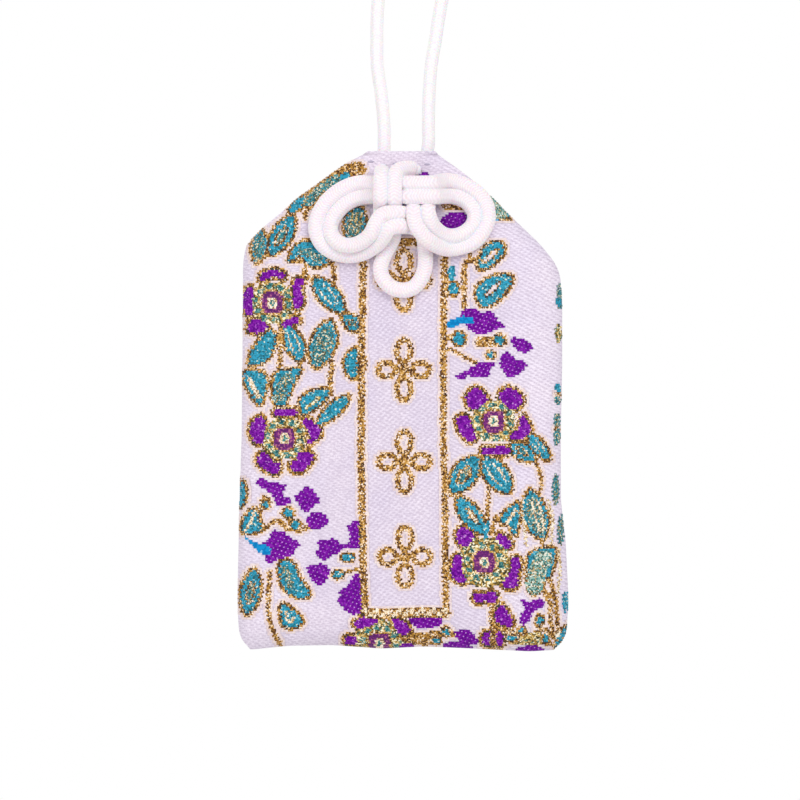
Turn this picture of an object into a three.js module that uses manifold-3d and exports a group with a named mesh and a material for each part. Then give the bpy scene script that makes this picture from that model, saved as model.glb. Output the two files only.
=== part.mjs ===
// Omamori charm: a stiffened brocade pouch that holds a wrapped talisman. One braided cord closes
// the mouth, is tied in front in a flat knot with two double ears and one lower loop, and goes up
// behind the pouch as the hanging loop.
// Millimetres, +Z up. Seen from the front, along +Y, +X is to the right. The origin is the crotch of
// the hanging loop, where it rests on its hook.
import * as THREE from 'three';
import { mergeVertices } from 'three/addons/utils/BufferGeometryUtils.js';
import Module from 'manifold-3d';

const wasm = await Module();
wasm.setup();

// Pouch: outline as seen from the front
const POUCH_HEIGHT = 70;
const MOUTH_WIDTH = 11.2;
const SHOULDER_WIDTH = 44.6;
const BOTTOM_WIDTH = 46.4;
const LEFT_SHOULDER_DROP = 13.3;
const RIGHT_SHOULDER_DROP = 16.5;
const BOTTOM_CORNER_ROUNDING = 2.4;

// Pouch: depth from front to back
const POUCH_DEPTH = 6.2;
const MOUTH_DEPTH = 2.5;
const DEPTH_RISE = 14;
const SIDE_ROUNDING = 6;
const FOLD_ROUNDING = 5;

// Cloth, lining and clearances
const CLOTH_THICKNESS = 0.5;
const HEM_DEPTH = 6;
const SEAM_GAP = 0.6;
const LINING_THICKNESS = 0.3;
const LINING_MARGIN = 3;
const LINING_TOP_DROP = 8;
const FIT_GAP = 0.3;

// What the pouch holds
const CARD_WIDTH = 34;
const CARD_HEIGHT = 51;
const CARD_THICKNESS = 0.8;
const CARD_CORNER_CUT = 8;
const WRAPPER_WIDTH = 27;
const WRAPPER_HEIGHT = 45;
const PAPER_THICKNESS = 0.3;
const TABLET_HEIGHT = 42;
const TABLET_THICKNESS = 1.1;
const TABLET_CORNER_CUT = 3;

// Sewing thread
const THREAD_DIAMETER = 0.35;
const STITCH_LENGTH = 2.6;
const SEAM_INSET = 0.8;
const MOUTH_STITCH_DROP = 0.8;

// Cord: braid diameter, its holes below the mouth and the hinge points at the two ends of its runs
const CORD_DIAMETER = 1.9;
const HOLE_DROP = 2.7;
const LEFT_HOLE_X = -2.9;
const RIGHT_HOLE_X = 1.8;
const RUN_PROUD = 0.4;
const RUN_BEND = 1.2;
const RUN_BEND_SHIFT = 0.7;
const LOOP_HEIGHT = 50;
const SWING_CLEARANCE = 0.4;

// Front knot: the soft braid is drawn flat where it is tied
const STRAND_GAP = 0.6;
const STRAND_THICKNESS = 0.95;
const LAYER_PITCH = STRAND_THICKNESS + STRAND_GAP;
const STRAND_WIDTH = CORD_DIAMETER - STRAND_GAP;
const KNOT_STEPS = 176;
const KNOT_SIDES = 8;

// End knot of the hanging loop
const END_KNOT_HEIGHT = 5;
const END_KNOT_RADIUS = 2.5;
const END_KNOT_END_SHARE = 0.75;
const END_KNOT_RIDGES = 3;
const END_KNOT_RIDGE_HEIGHT = 0.35;

// How finely the round pieces are cut
const TUBE_SIDES = 8;
const THREAD_SIDES = 5;
const HOLE_SIDES = 12;
const BARREL_SIDES = 16;
const STRAND_STEPS = 24;
const RUN_STEPS = 16;
const TAIL_STEPS = 5;

// Places worked out from the sizes above. The pouch's own frame has its top edge at z = 0.
const strandY = MOUTH_DEPTH / 2 + FIT_GAP + CORD_DIAMETER / 2;
const swingZ = CORD_DIAMETER / 2 + SWING_CLEARANCE;
const runTopZ = swingZ - CORD_DIAMETER / 2 - FIT_GAP;
const runFrontY = -MOUTH_DEPTH / 2 - RUN_PROUD;
const knotHingeY = runFrontY - FIT_GAP - STRAND_WIDTH / 2;
const foldStart = POUCH_HEIGHT - FOLD_ROUNDING;
const seamHalf = CLOTH_THICKNESS + SEAM_GAP / 2;
const liningInset = CLOTH_THICKNESS + FIT_GAP;
const insertInset = liningInset + LINING_THICKNESS + FIT_GAP;

// Route of the front knot: x from the middle of the pouch, drop below its top edge, and layer, where
// 0 lies on the cloth and 2 is the front. It starts and ends at the two holes.
const KNOT_ROUTE = [
  // left neck, down the front, under the lower left band, folded there and slantwise up the back
  [-2.95, 3, 1.15], [-3, 3.6, 1.8], [-3.1, 4.4, 2], [-3.1, 6.95, 2], [-3.1, 7.6, 1.5], [-3.1, 8.25, 1],
  [-3.1, 9.6, 1], [-3, 10.3, 0.6], [-2.3, 10.6, 0.15], [-1, 10.6, 0], [0.8, 10.65, 0], [2.3, 10.3, 0],
  [3.25, 9.3, 0], [3.45, 8.1, 0], [3.45, 7, 0], [3.45, 5.7, 0],
  // folded forwards behind the upper right band, down the lower right band, and inner ring of the right ear
  [3.45, 5, 0.5], [3.45, 5.7, 1], [3.45, 7.45, 1], [3.45, 8.1, 1.45], [3.45, 8.7, 2], [3.6, 9.4, 2],
  [4.05, 10.5, 1.7], [4.85, 11.4, 1.15], [5.9, 12, 0.65], [7.2, 12.1, 0.3], [8.6, 11.6, 0.15],
  [9.7, 10.55, 0], [10.05, 9.1, 0], [9.35, 7.7, 0], [8.1, 6.8, 0], [6.9, 6.5, 0.1], [5.95, 6.5, 0.6],
  [5.15, 6.6, 1.3], [4.5, 6.65, 1.85],
  // over the upper right band, behind the left neck, inner ring of the left ear, and over the lower left band
  [3.45, 6.65, 2], [1.3, 6.65, 2], [0.75, 6.65, 1.95], [0.05, 6.55, 1.5], [-0.6, 6.45, 1.05],
  [-1.1, 6.4, 1], [-3.05, 6.4, 1], [-4.4, 6.5, 0.5], [-5.8, 6.65, 0.1], [-7, 7, 0], [-8.3, 7.8, 0],
  [-9.45, 9.1, 0], [-10.1, 10.5, 0], [-10, 11.8, 0.3], [-9.2, 12.9, 0.6], [-7.9, 13.45, 0.85],
  [-6.5, 13.3, 1.15], [-5.25, 12.65, 1.5], [-4.4, 11.75, 1.85], [-3.95, 10.8, 2], [-3.5, 9.95, 2],
  [-2.95, 9.35, 2], [-2.3, 9.05, 2], [-1.1, 9, 2], [-0.6, 9, 1.95], [0.1, 9.05, 1.4],
  [0.7, 9.15, 0.75],
  // up behind the upper right band, folded forwards there, down the lower right band, outer ring of the right ear
  [1.2, 8.95, 0.3], [1.45, 8.3, 0.05], [1.5, 7.3, 0], [1.5, 5.75, 0], [1.5, 5.05, 0.5], [1.5, 5.75, 1],
  [1.5, 7.45, 1], [1.5, 8.1, 1.45], [1.5, 8.75, 2], [1.55, 9.6, 2], [1.8, 10.6, 2], [2.45, 11.7, 1.9],
  [3.55, 12.75, 1.6], [5, 13.6, 0.9], [6.4, 13.9, 0.3], [7.8, 13.7, 0], [9.6, 13.1, 0],
  [11.1, 11.6, 0], [11.9, 9.4, 0], [11.4, 7.2, 0], [9.6, 5.4, 0], [7.4, 4.45, 0], [5.9, 4.3, 0.4],
  [5, 4.55, 1.1], [4.2, 4.75, 1.85],
  // over the upper right band, behind the left neck, outer ring of the left ear, and over the lower left band
  [3.45, 4.8, 2], [1.3, 4.8, 2], [0.75, 4.8, 1.95], [0.1, 4.75, 1.5], [-0.55, 4.7, 1.05],
  [-1.1, 4.7, 1], [-3.05, 4.75, 1], [-4.5, 4.7, 0.4], [-6.2, 4.6, 0], [-8.3, 5.3, 0], [-10.3, 6.8, 0],
  [-11.7, 8.8, 0], [-12.2, 11, 0], [-11.4, 13.1, 0], [-9.6, 14.4, 0], [-7.6, 14.8, 0], [-6, 14.6, 0.2],
  [-4.6, 14, 0.6], [-3.4, 13.15, 1.2], [-2.6, 12.15, 1.7], [-2, 11.3, 2], [-1.2, 10.9, 2],
  [-0.55, 10.8, 1.95], [0.1, 10.8, 1.5], [0.75, 10.8, 1.05],
  // behind the lower right band, round the lower loop, and behind the lower left band
  [1.4, 10.9, 1], [2.1, 11.2, 0.85], [2.7, 11.9, 0.55], [3, 12.8, 0.2], [3.1, 14, 0], [3.15, 15.3, 0],
  [3, 16.7, 0], [2.4, 18.2, 0], [1.4, 19.3, 0], [0, 19.65, 0], [-1.6, 19.25, 0], [-2.8, 18, 0],
  [-3.15, 16.5, 0], [-2.7, 15, 0], [-2, 13.6, 0], [-1.45, 12.5, 0.2], [-1.25, 11.6, 0.65],
  [-1.2, 10.5, 1],
  // up the front beside the left neck, and across to the right hole
  [-1.2, 8.25, 1], [-1.2, 7.6, 1.5], [-1.2, 6.95, 2], [-1.2, 4.5, 2], [-1.1, 3.7, 1.85],
  [-0.75, 3.05, 1.6], [0.05, 2.7, 1.15], [1, 2.6, 0.7],
];

// Routes of the two free strands: x, and height above the pouch's top edge
const LEFT_STRAND_ROUTE = [
  [-2.66, 3.2], [-2.78, 5.3], [-3.14, 8.75], [-3.64, 12.3], [-3.7, 15.75], [-3.64, 19.25], [-3.3, 24],
  [-2.75, 30], [-2.2, 36], [-1.65, 42], [-1.2, 47],
];
const RIGHT_STRAND_ROUTE = [
  [3.6, 3.2], [3.61, 5.3], [3.72, 8.75], [3.99, 12.3], [4.56, 15.75], [5.1, 19.25], [5.9, 24],
  [6.3, 29], [5.7, 34], [4.3, 39], [2.6, 43.5], [1.4, 47],
];
const LEFT_STRAND_X = -2.66;
const RIGHT_STRAND_X = 3.6;

// Routes of the two cut tails: x, y, and height above the top of the end knot
const LEFT_TAIL_ROUTE = [[-1.1, 0, 2.2], [-1.7, -0.3, 4.4], [-2.9, -0.6, 6.4]];
const RIGHT_TAIL_ROUTE = [[1.1, 0, 2.2], [1.8, 0.3, 4.1], [3.2, 0.5, 5.6]];

const material = (color, roughness) => new THREE.MeshStandardMaterial({ color, roughness, metalness: 0 });
const brocade = material(0xe9e0ec, 0.6);
const lining = material(0xf1eee6, 0.9);
const card = material(0xd9d2c0, 0.85);
const paper = material(0xf6f3ea, 0.8);
const wood = material(0xd8b98a, 0.7);
const thread = material(0xf2edf2, 0.6);
const cord = material(0xf4eef2, 0.55);

const { lerp, smoothstep, clamp } = THREE.MathUtils;
const vector = (x, y, z) => new THREE.Vector3(x, y, z);

function toSolid(geometry) {
  const bare = geometry.clone();
  bare.deleteAttribute('normal');
  bare.deleteAttribute('uv');
  const merged = mergeVertices(bare, 1e-4);
  const vertProperties = new Float32Array(merged.attributes.position.array);
  const triVerts = new Uint32Array(merged.index.array);
  return new wasm.Manifold(new wasm.Mesh({ numProp: 3, vertProperties, triVerts }));
}

function toGeometry(solid) {
  const { vertProperties, triVerts } = solid.getMesh();
  const geometry = new THREE.BufferGeometry();
  geometry.setAttribute('position', new THREE.BufferAttribute(new Float32Array(vertProperties), 3));
  geometry.setIndex(new THREE.BufferAttribute(new Uint32Array(triVerts), 1));
  geometry.computeVertexNormals();
  return geometry;
}

// A closed mesh from points and triangles, turned so that its faces point out
function closedGeometry(points, triangles) {
  let volume = 0;
  for (const [a, b, c] of triangles) {
    volume += points[a].dot(points[b].clone().cross(points[c]));
  }
  const turned = volume < 0 ? triangles.map(([a, b, c]) => [a, c, b]) : triangles;
  const geometry = new THREE.BufferGeometry().setFromPoints(points);
  geometry.setIndex(turned.flat());
  geometry.computeVertexNormals();
  return geometry;
}

// Distance from the pouch's middle line to one slanted or upright side at a drop below the top edge
function sideReach(drop, shoulderDrop) {
  if (drop < shoulderDrop) {
    return lerp(MOUTH_WIDTH / 2, SHOULDER_WIDTH / 2, drop / shoulderDrop);
  }
  const below = (drop - shoulderDrop) / (POUCH_HEIGHT - shoulderDrop);
  return lerp(SHOULDER_WIDTH / 2, BOTTOM_WIDTH / 2, below);
}

// Outer half depth of the pouch away from its sides
function middleHalfDepth(drop) {
  return lerp(MOUTH_DEPTH / 2, POUCH_DEPTH / 2, smoothstep(drop, 0, DEPTH_RISE));
}

// Outer half depth of the pouch, drawn in to the seam at the sides
function halfDepth(x, drop) {
  const left = -sideReach(drop, LEFT_SHOULDER_DROP);
  const right = sideReach(drop, RIGHT_SHOULDER_DROP);
  const half = (right - left) / 2;
  const rounding = Math.min(SIDE_ROUNDING, half);
  const fromMiddle = Math.abs(x - (left + right) / 2);
  const edge = clamp((fromMiddle - half + rounding) / rounding, 0, 1);
  return lerp(seamHalf, middleHalfDepth(drop), Math.sqrt(1 - edge * edge));
}

// Rows of a strip that goes down the front, round the fold and up the back. Each row has its drop,
// the side it is on, and its turn round the fold.
function stripRows(top) {
  const stations = [0, HEM_DEPTH, HEM_DEPTH + 1, LEFT_SHOULDER_DROP, RIGHT_SHOULDER_DROP, foldStart];
  const steps = [3, 1, 3, 1, 8];
  const foldSteps = 4;
  const drops = [];
  stations.sort((a, b) => a - b);
  for (let i = 0; i < steps.length; i += 1) {
    for (let k = 0; k < steps[i]; k += 1) {
      drops.push(lerp(stations[i], stations[i + 1], k / steps[i]));
    }
  }
  const kept = [top, ...drops.filter((drop) => drop > top + FIT_GAP), foldStart];
  const front = kept.map((drop) => ({ drop, side: -1, turn: 0 }));
  for (let k = 1; k < foldSteps; k += 1) {
    front.push({ drop: foldStart, side: -1, turn: (Math.PI / 2) * (k / foldSteps) });
  }
  const bottom = { drop: foldStart, side: 0, turn: Math.PI / 2 };
  const back = front.map((row) => ({ ...row, side: 1 })).reverse();
  return [...front, bottom, ...back];
}

// One point of such a strip: across runs from -1 at the left edge to 1 at the right edge
function stripPoint(row, across, inset, margin) {
  const fold = (FOLD_ROUNDING - inset) * Math.sin(row.turn);
  const drawnIn = margin + BOTTOM_CORNER_ROUNDING * (1 - Math.cos(row.turn));
  const left = -sideReach(row.drop + fold, LEFT_SHOULDER_DROP) + drawnIn;
  const right = sideReach(row.drop + fold, RIGHT_SHOULDER_DROP) - drawnIn;
  const x = lerp(left, right, (across + 1) / 2);
  const hemmed = inset === CLOTH_THICKNESS && row.drop <= HEM_DEPTH;
  const half = hemmed ? SEAM_GAP / 2 : halfDepth(x, row.drop) - inset;
  return vector(x, row.side * half * Math.cos(row.turn), -row.drop - fold);
}

// A closed strip of cloth between two insets from the pouch's outer surface
function clothStrip(outerInset, innerInset, top, margin, columns) {
  const rows = stripRows(top);
  const points = [];
  const triangles = [];
  const width = columns + 1;
  const quad = (a, b, c, d) => triangles.push([a, b, c], [a, c, d]);
  for (const inset of [outerInset, innerInset]) {
    for (const row of rows) {
      for (let c = 0; c <= columns; c += 1) {
        const across = Math.sin((Math.PI / 2) * ((2 * c) / columns - 1));
        points.push(stripPoint(row, across, inset, margin));
      }
    }
  }
  const layer = rows.length * width;
  const last = rows.length - 1;
  for (let r = 0; r < last; r += 1) {
    for (let c = 0; c < columns; c += 1) {
      const a = r * width + c;
      quad(a, a + 1, a + width + 1, a + width);
      quad(layer + a, layer + a + width, layer + a + width + 1, layer + a + 1);
    }
    const left = r * width;
    const right = left + columns;
    quad(left, left + width, layer + left + width, layer + left);
    quad(right, layer + right, layer + right + width, right + width);
  }
  for (let c = 0; c < columns; c += 1) {
    const bottom = last * width + c;
    quad(c, layer + c, layer + c + 1, c + 1);
    quad(bottom, bottom + 1, layer + bottom + 1, layer + bottom);
  }
  return closedGeometry(points, triangles);
}

function pouchCloth() {
  let solid = toSolid(clothStrip(0, CLOTH_THICKNESS, 0, 0, 16));
  const holeRadius = CORD_DIAMETER / 2 + FIT_GAP;
  for (const x of [LEFT_HOLE_X, RIGHT_HOLE_X]) {
    const hole = new THREE.CylinderGeometry(holeRadius, holeRadius, 2 * POUCH_DEPTH, HOLE_SIDES);
    hole.translate(x, 0, -HOLE_DROP);
    solid = solid.subtract(toSolid(hole));
  }
  return toGeometry(solid);
}

// A flat plate with its two upper corners cut, standing upright with its back face at y = 0
function uprightPlate(width, height, thickness, cornerCut) {
  const half = width / 2;
  const outline = new THREE.Shape();
  outline.moveTo(-half, 0);
  outline.lineTo(half, 0);
  outline.lineTo(half, height - cornerCut);
  outline.lineTo(half - cornerCut, height);
  outline.lineTo(cornerCut - half, height);
  outline.lineTo(-half, height - cornerCut);
  const plate = new THREE.ExtrudeGeometry(outline, { depth: thickness, bevelEnabled: false });
  return plate.rotateX(Math.PI / 2);
}

// The wrapper is a folded packet, open at the top
function paperWrapper(depth) {
  const outer = new THREE.BoxGeometry(WRAPPER_WIDTH, depth, WRAPPER_HEIGHT);
  const wall = 2 * PAPER_THICKNESS;
  const inner = new THREE.BoxGeometry(WRAPPER_WIDTH - wall, depth - wall, WRAPPER_HEIGHT);
  inner.translate(0, 0, PAPER_THICKNESS);
  return toGeometry(toSolid(outer).subtract(toSolid(inner))).translate(0, 0, WRAPPER_HEIGHT / 2);
}

// A round tube along a list of points, straight at its ends
function tube(points, diameter, sides, steps) {
  const corners = [];
  for (let k = 0; k < sides; k += 1) {
    const angle = (2 * Math.PI * k) / sides;
    corners.push(new THREE.Vector2(Math.cos(angle), Math.sin(angle)).multiplyScalar(diameter / 2));
  }
  const path = new THREE.CatmullRomCurve3(points, false, 'centripetal');
  const section = new THREE.Shape(corners);
  return new THREE.ExtrudeGeometry(section, { steps, extrudePath: path, bevelEnabled: false });
}

// A ladder stitch that goes to and fro between the front and the back beside one side seam
function seamThread(sign, shoulderDrop) {
  const first = shoulderDrop + STITCH_LENGTH;
  const stitches = Math.floor((foldStart - first) / STITCH_LENGTH);
  const points = [];
  for (let k = 0; k <= stitches; k += 1) {
    const drop = first + k * STITCH_LENGTH;
    const x = sign * (sideReach(drop, shoulderDrop) - SEAM_INSET);
    const reach = halfDepth(x, drop) - CLOTH_THICKNESS - FIT_GAP - THREAD_DIAMETER / 2;
    points.push(vector(x, k % 2 === 0 ? -reach : reach, -drop));
  }
  return tube(points, THREAD_DIAMETER, THREAD_SIDES, 3 * stitches);
}

// A thread along the mouth between the two hems
function mouthThread() {
  const reach = MOUTH_WIDTH / 2 - SEAM_INSET;
  const ends = [vector(-reach, 0, -MOUTH_STITCH_DROP), vector(reach, 0, -MOUTH_STITCH_DROP)];
  return tube(ends, THREAD_DIAMETER, THREAD_SIDES, 6);
}

// The cord from the front of its hole, through the pouch and up the back to the top edge
function cordRun(holeX, strandX) {
  const bendY = strandY - RUN_BEND;
  const points = [
    vector(holeX, runFrontY, -HOLE_DROP),
    vector(holeX, runFrontY + CORD_DIAMETER, -HOLE_DROP),
    vector(holeX, bendY, -HOLE_DROP),
  ];
  const bendSteps = 3;
  for (let k = 1; k <= bendSteps; k += 1) {
    const turn = (Math.PI / 2) * (k / bendSteps);
    const x = lerp(holeX, strandX, (RUN_BEND_SHIFT * k) / bendSteps);
    const y = bendY + RUN_BEND * Math.sin(turn);
    points.push(vector(x, y, -HOLE_DROP + RUN_BEND * (1 - Math.cos(turn))));
  }
  points.push(vector(strandX, strandY, runTopZ));
  return tube(points, CORD_DIAMETER, TUBE_SIDES, RUN_STEPS);
}

// A free strand of the hanging loop, from the ball end that turns over the pouch's top edge
function loopStrand(strandX, route, endX) {
  const pivotZ = swingZ - LOOP_HEIGHT;
  const pivot = vector(strandX, 0, pivotZ);
  const points = [pivot, ...route.map(([x, height]) => vector(x, 0, height - LOOP_HEIGHT))];
  points.push(vector(endX, 0, 0));
  const strand = tube(points, CORD_DIAMETER, TUBE_SIDES, STRAND_STEPS);
  const ball = new THREE.SphereGeometry(CORD_DIAMETER / 2, TUBE_SIDES, 6);
  ball.rotateX(Math.PI / 2).translate(...pivot.toArray());
  return toGeometry(toSolid(strand).add(toSolid(ball)));
}

// The knot that closes the hanging loop, a barrel of wound turns
function endKnot() {
  const steps = 4 * END_KNOT_RIDGES;
  const profile = [new THREE.Vector2(0, 0)];
  for (let k = 0; k <= steps; k += 1) {
    const along = k / steps;
    const ridge = -END_KNOT_RIDGE_HEIGHT * Math.cos(2 * Math.PI * END_KNOT_RIDGES * along);
    const swell = lerp(END_KNOT_END_SHARE, 1, Math.sin(Math.PI * along));
    profile.push(new THREE.Vector2(END_KNOT_RADIUS * swell + ridge, END_KNOT_HEIGHT * along));
  }
  profile.push(new THREE.Vector2(0, END_KNOT_HEIGHT));
  return new THREE.LatheGeometry(profile, BARREL_SIDES).rotateX(Math.PI / 2);
}

function loopTail(startX, route) {
  const foot = END_KNOT_HEIGHT + 2 * FIT_GAP;
  const points = [vector(startX, 0, foot)];
  for (const [x, y, height] of route) {
    points.push(vector(x, y, foot + height));
  }
  return tube(points, CORD_DIAMETER, TUBE_SIDES, TAIL_STEPS);
}

// Place of a point of the knot's route in front of the pouch
function knotPoint([x, drop, layer]) {
  const height = FIT_GAP + STRAND_THICKNESS / 2 + LAYER_PITCH * layer;
  return vector(x, -middleHalfDepth(drop) - height, -drop);
}

// The knot's cord: an oval section swept along the route with its flat side kept to the cloth, and
// rounded ends that turn on the hinge line in front of the two holes
function frontKnot() {
  const necks = [LEFT_HOLE_X, RIGHT_HOLE_X].map((x) => vector(x, knotHingeY, -HOLE_DROP));
  const points = [necks[0], ...KNOT_ROUTE.map(knotPoint), necks[1]];
  const path = new THREE.CatmullRomCurve3(points, false, 'centripetal');
  path.arcLengthDivisions = 40 * points.length;
  const outward = vector(0, -1, 0);
  const leastLevel = 0.4;
  const rings = [];
  let side = vector(1, 0, 0);
  const addRing = (centre, tangent, scale) => {
    let level = tangent.clone().cross(outward);
    if (level.length() < leastLevel) {
      level = side.clone().addScaledVector(tangent, -side.dot(tangent));
    }
    level.normalize();
    side = level.dot(side) < 0 ? level.negate() : level;
    const up = tangent.clone().cross(side);
    const ring = [];
    for (let k = 0; k < KNOT_SIDES; k += 1) {
      const angle = (2 * Math.PI * k) / KNOT_SIDES;
      const corner = centre.clone().addScaledVector(side, (scale * STRAND_WIDTH * Math.cos(angle)) / 2);
      ring.push(corner.addScaledVector(up, (scale * STRAND_THICKNESS * Math.sin(angle)) / 2));
    }
    rings.push(ring);
  };
  const capTurn = Math.PI / 4;
  const addCap = (centre, tangent, direction) => {
    const reach = (STRAND_WIDTH / 2) * Math.sin(capTurn) * direction;
    addRing(centre.clone().addScaledVector(tangent, reach), tangent, Math.cos(capTurn));
  };
  addCap(path.getPointAt(0), path.getTangentAt(0), -1);
  for (let k = 0; k <= KNOT_STEPS; k += 1) {
    addRing(path.getPointAt(k / KNOT_STEPS), path.getTangentAt(k / KNOT_STEPS), 1);
  }
  addCap(path.getPointAt(1), path.getTangentAt(1), 1);
  const gap = leastGap(rings, path.getLength() / KNOT_STEPS);
  console.log(`front knot: ${path.getLength().toFixed(1)} mm of cord, least gap ${gap.toFixed(2)} mm`);
  return ringTube(rings);
}

// The least distance between parts of a tube that lie well apart along it
function leastGap(rings, step) {
  const apart = Math.ceil((2 * CORD_DIAMETER) / step);
  let least = Infinity;
  for (let i = 0; i < rings.length; i += 1) {
    for (let j = i + apart; j < rings.length; j += 1) {
      for (const a of rings[i]) {
        for (const b of rings[j]) {
          least = Math.min(least, a.distanceTo(b));
        }
      }
    }
  }
  return least;
}

// Rings of points joined into one closed tube
function ringTube(rings) {
  const sides = rings[0].length;
  const points = rings.flat();
  const triangles = [];
  const last = (rings.length - 1) * sides;
  for (let r = 0; r < last; r += sides) {
    for (let k = 0; k < sides; k += 1) {
      const next = (k + 1) % sides;
      triangles.push([r + k, r + next, r + sides + next], [r + k, r + sides + next, r + sides + k]);
    }
  }
  for (let k = 1; k + 1 < sides; k += 1) {
    triangles.push([0, k + 1, k], [last, last + k, last + k + 1]);
  }
  return closedGeometry(points, triangles);
}

function addPiece(group, name, geometry, look, x = 0, y = 0, z = 0) {
  const mesh = new THREE.Mesh(geometry, look);
  mesh.name = name;
  mesh.position.set(x, y, z);
  group.add(mesh);
}

const charm = new THREE.Group();

const hangingLoop = new THREE.Group();
const strandEndX = CORD_DIAMETER / 2 + FIT_GAP / 2;
addPiece(hangingLoop, 'loop_strand_left', loopStrand(LEFT_STRAND_X, LEFT_STRAND_ROUTE, -strandEndX), cord);
addPiece(hangingLoop, 'loop_strand_right', loopStrand(RIGHT_STRAND_X, RIGHT_STRAND_ROUTE, strandEndX), cord);
addPiece(hangingLoop, 'loop_end_knot', endKnot(), cord, 0, 0, FIT_GAP);
addPiece(hangingLoop, 'loop_tail_left', loopTail(-strandEndX, LEFT_TAIL_ROUTE), cord);
addPiece(hangingLoop, 'loop_tail_right', loopTail(strandEndX, RIGHT_TAIL_ROUTE), cord);
charm.add(hangingLoop);

const pouch = new THREE.Group();
pouch.position.set(0, -strandY, -LOOP_HEIGHT);
addPiece(pouch, 'pouch_cloth', pouchCloth(), brocade);
const liningInner = liningInset + LINING_THICKNESS;
const liningStrip = clothStrip(liningInset, liningInner, LINING_TOP_DROP, LINING_MARGIN, 10);
addPiece(pouch, 'interlining', liningStrip, lining);

const insertHalfDepth = POUCH_DEPTH / 2 - insertInset;
const insertBottom = -foldStart - FIT_GAP;
const wrapperDepth = 2 * insertHalfDepth - CARD_THICKNESS - FIT_GAP;
const wrapperY = wrapperDepth / 2 - insertHalfDepth;
const tabletWidth = WRAPPER_WIDTH - 2 * PAPER_THICKNESS - 2 * FIT_GAP;
const tabletFloor = insertBottom + PAPER_THICKNESS + FIT_GAP;
const cardPlate = uprightPlate(CARD_WIDTH, CARD_HEIGHT, CARD_THICKNESS, CARD_CORNER_CUT);
const tabletPlate = uprightPlate(tabletWidth, TABLET_HEIGHT, TABLET_THICKNESS, TABLET_CORNER_CUT);
addPiece(pouch, 'stiffener_card', cardPlate, card, 0, insertHalfDepth, insertBottom);
addPiece(pouch, 'talisman_wrapper', paperWrapper(wrapperDepth), paper, 0, wrapperY, insertBottom);
addPiece(pouch, 'talisman_tablet', tabletPlate, wood, 0, wrapperY + TABLET_THICKNESS / 2, tabletFloor);

addPiece(pouch, 'seam_thread_left', seamThread(-1, LEFT_SHOULDER_DROP), thread);
addPiece(pouch, 'seam_thread_right', seamThread(1, RIGHT_SHOULDER_DROP), thread);
addPiece(pouch, 'mouth_thread', mouthThread(), thread);
addPiece(pouch, 'cord_run_left', cordRun(LEFT_HOLE_X, LEFT_STRAND_X), cord);
addPiece(pouch, 'cord_run_right', cordRun(RIGHT_HOLE_X, RIGHT_STRAND_X), cord);
addPiece(pouch, 'front_knot', frontKnot(), cord);
charm.add(pouch);

export default charm;
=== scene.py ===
# Looks of the omamori charm: woven pouch, braided cord, front knot and hanging loop.
import math

import bpy
import numpy as np
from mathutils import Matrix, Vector


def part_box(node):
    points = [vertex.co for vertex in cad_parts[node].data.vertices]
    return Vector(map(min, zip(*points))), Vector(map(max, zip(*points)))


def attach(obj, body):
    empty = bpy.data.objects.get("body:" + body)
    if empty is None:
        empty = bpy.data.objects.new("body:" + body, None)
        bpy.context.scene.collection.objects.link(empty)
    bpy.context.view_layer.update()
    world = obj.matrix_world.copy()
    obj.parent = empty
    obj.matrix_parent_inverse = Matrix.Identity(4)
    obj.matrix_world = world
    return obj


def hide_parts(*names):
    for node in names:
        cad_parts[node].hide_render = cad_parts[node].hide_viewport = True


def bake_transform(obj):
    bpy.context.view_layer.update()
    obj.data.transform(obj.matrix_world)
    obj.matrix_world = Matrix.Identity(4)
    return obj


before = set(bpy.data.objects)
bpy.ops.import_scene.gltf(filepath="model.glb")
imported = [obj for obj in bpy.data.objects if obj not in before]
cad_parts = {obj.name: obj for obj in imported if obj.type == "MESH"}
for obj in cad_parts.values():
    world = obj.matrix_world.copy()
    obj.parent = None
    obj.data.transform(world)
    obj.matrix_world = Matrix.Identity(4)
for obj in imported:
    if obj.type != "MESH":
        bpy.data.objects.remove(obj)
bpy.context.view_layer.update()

MM = 0.001

# Sizes in millimetres. A drop is a distance below the pouch's top edge, and x is from its middle line,
# to the right seen from the front.

# Outline of the pouch, as (drop, x) along its two sides and (x, change of drop) along its fold
LEFT_SIDE = [
    (0, -4.4), (0.6, -6.0), (2.2, -8.9), (3.9, -11.1), (6.4, -14.7), (9.0, -17.6), (10.6, -19.6),
    (13.2, -22.1), (15.7, -22.5), (30, -22.6), (40, -22.7), (49, -23.0), (63, -23.3), (67.5, -23.1),
    (69.2, -22.4), (70, -21.2),
]
RIGHT_SIDE = [
    (0, 4.3), (0.6, 5.0), (2.2, 7.4), (3.9, 9.6), (6.4, 12.5), (9.2, 15.2), (10.6, 16.7), (13.2, 19.4),
    (15.7, 21.4), (17.4, 22.1), (21, 22.4), (30, 22.4), (40, 22.2), (49, 22.2), (55, 22.9), (63, 23.3),
    (67.5, 23.0), (69.2, 22.2), (70, 20.8),
]
FOLD_LINE = [(-21, 0.1), (-16, -0.4), (-10, -0.5), (-3, 0.0), (3, -0.3), (10, 0.0), (18, 0.4), (21, 0.2)]
OUTLINE_ROUNDING = 0.7
POUCH_HEIGHT = 70
FOLD_WAVE_START = 52

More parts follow.
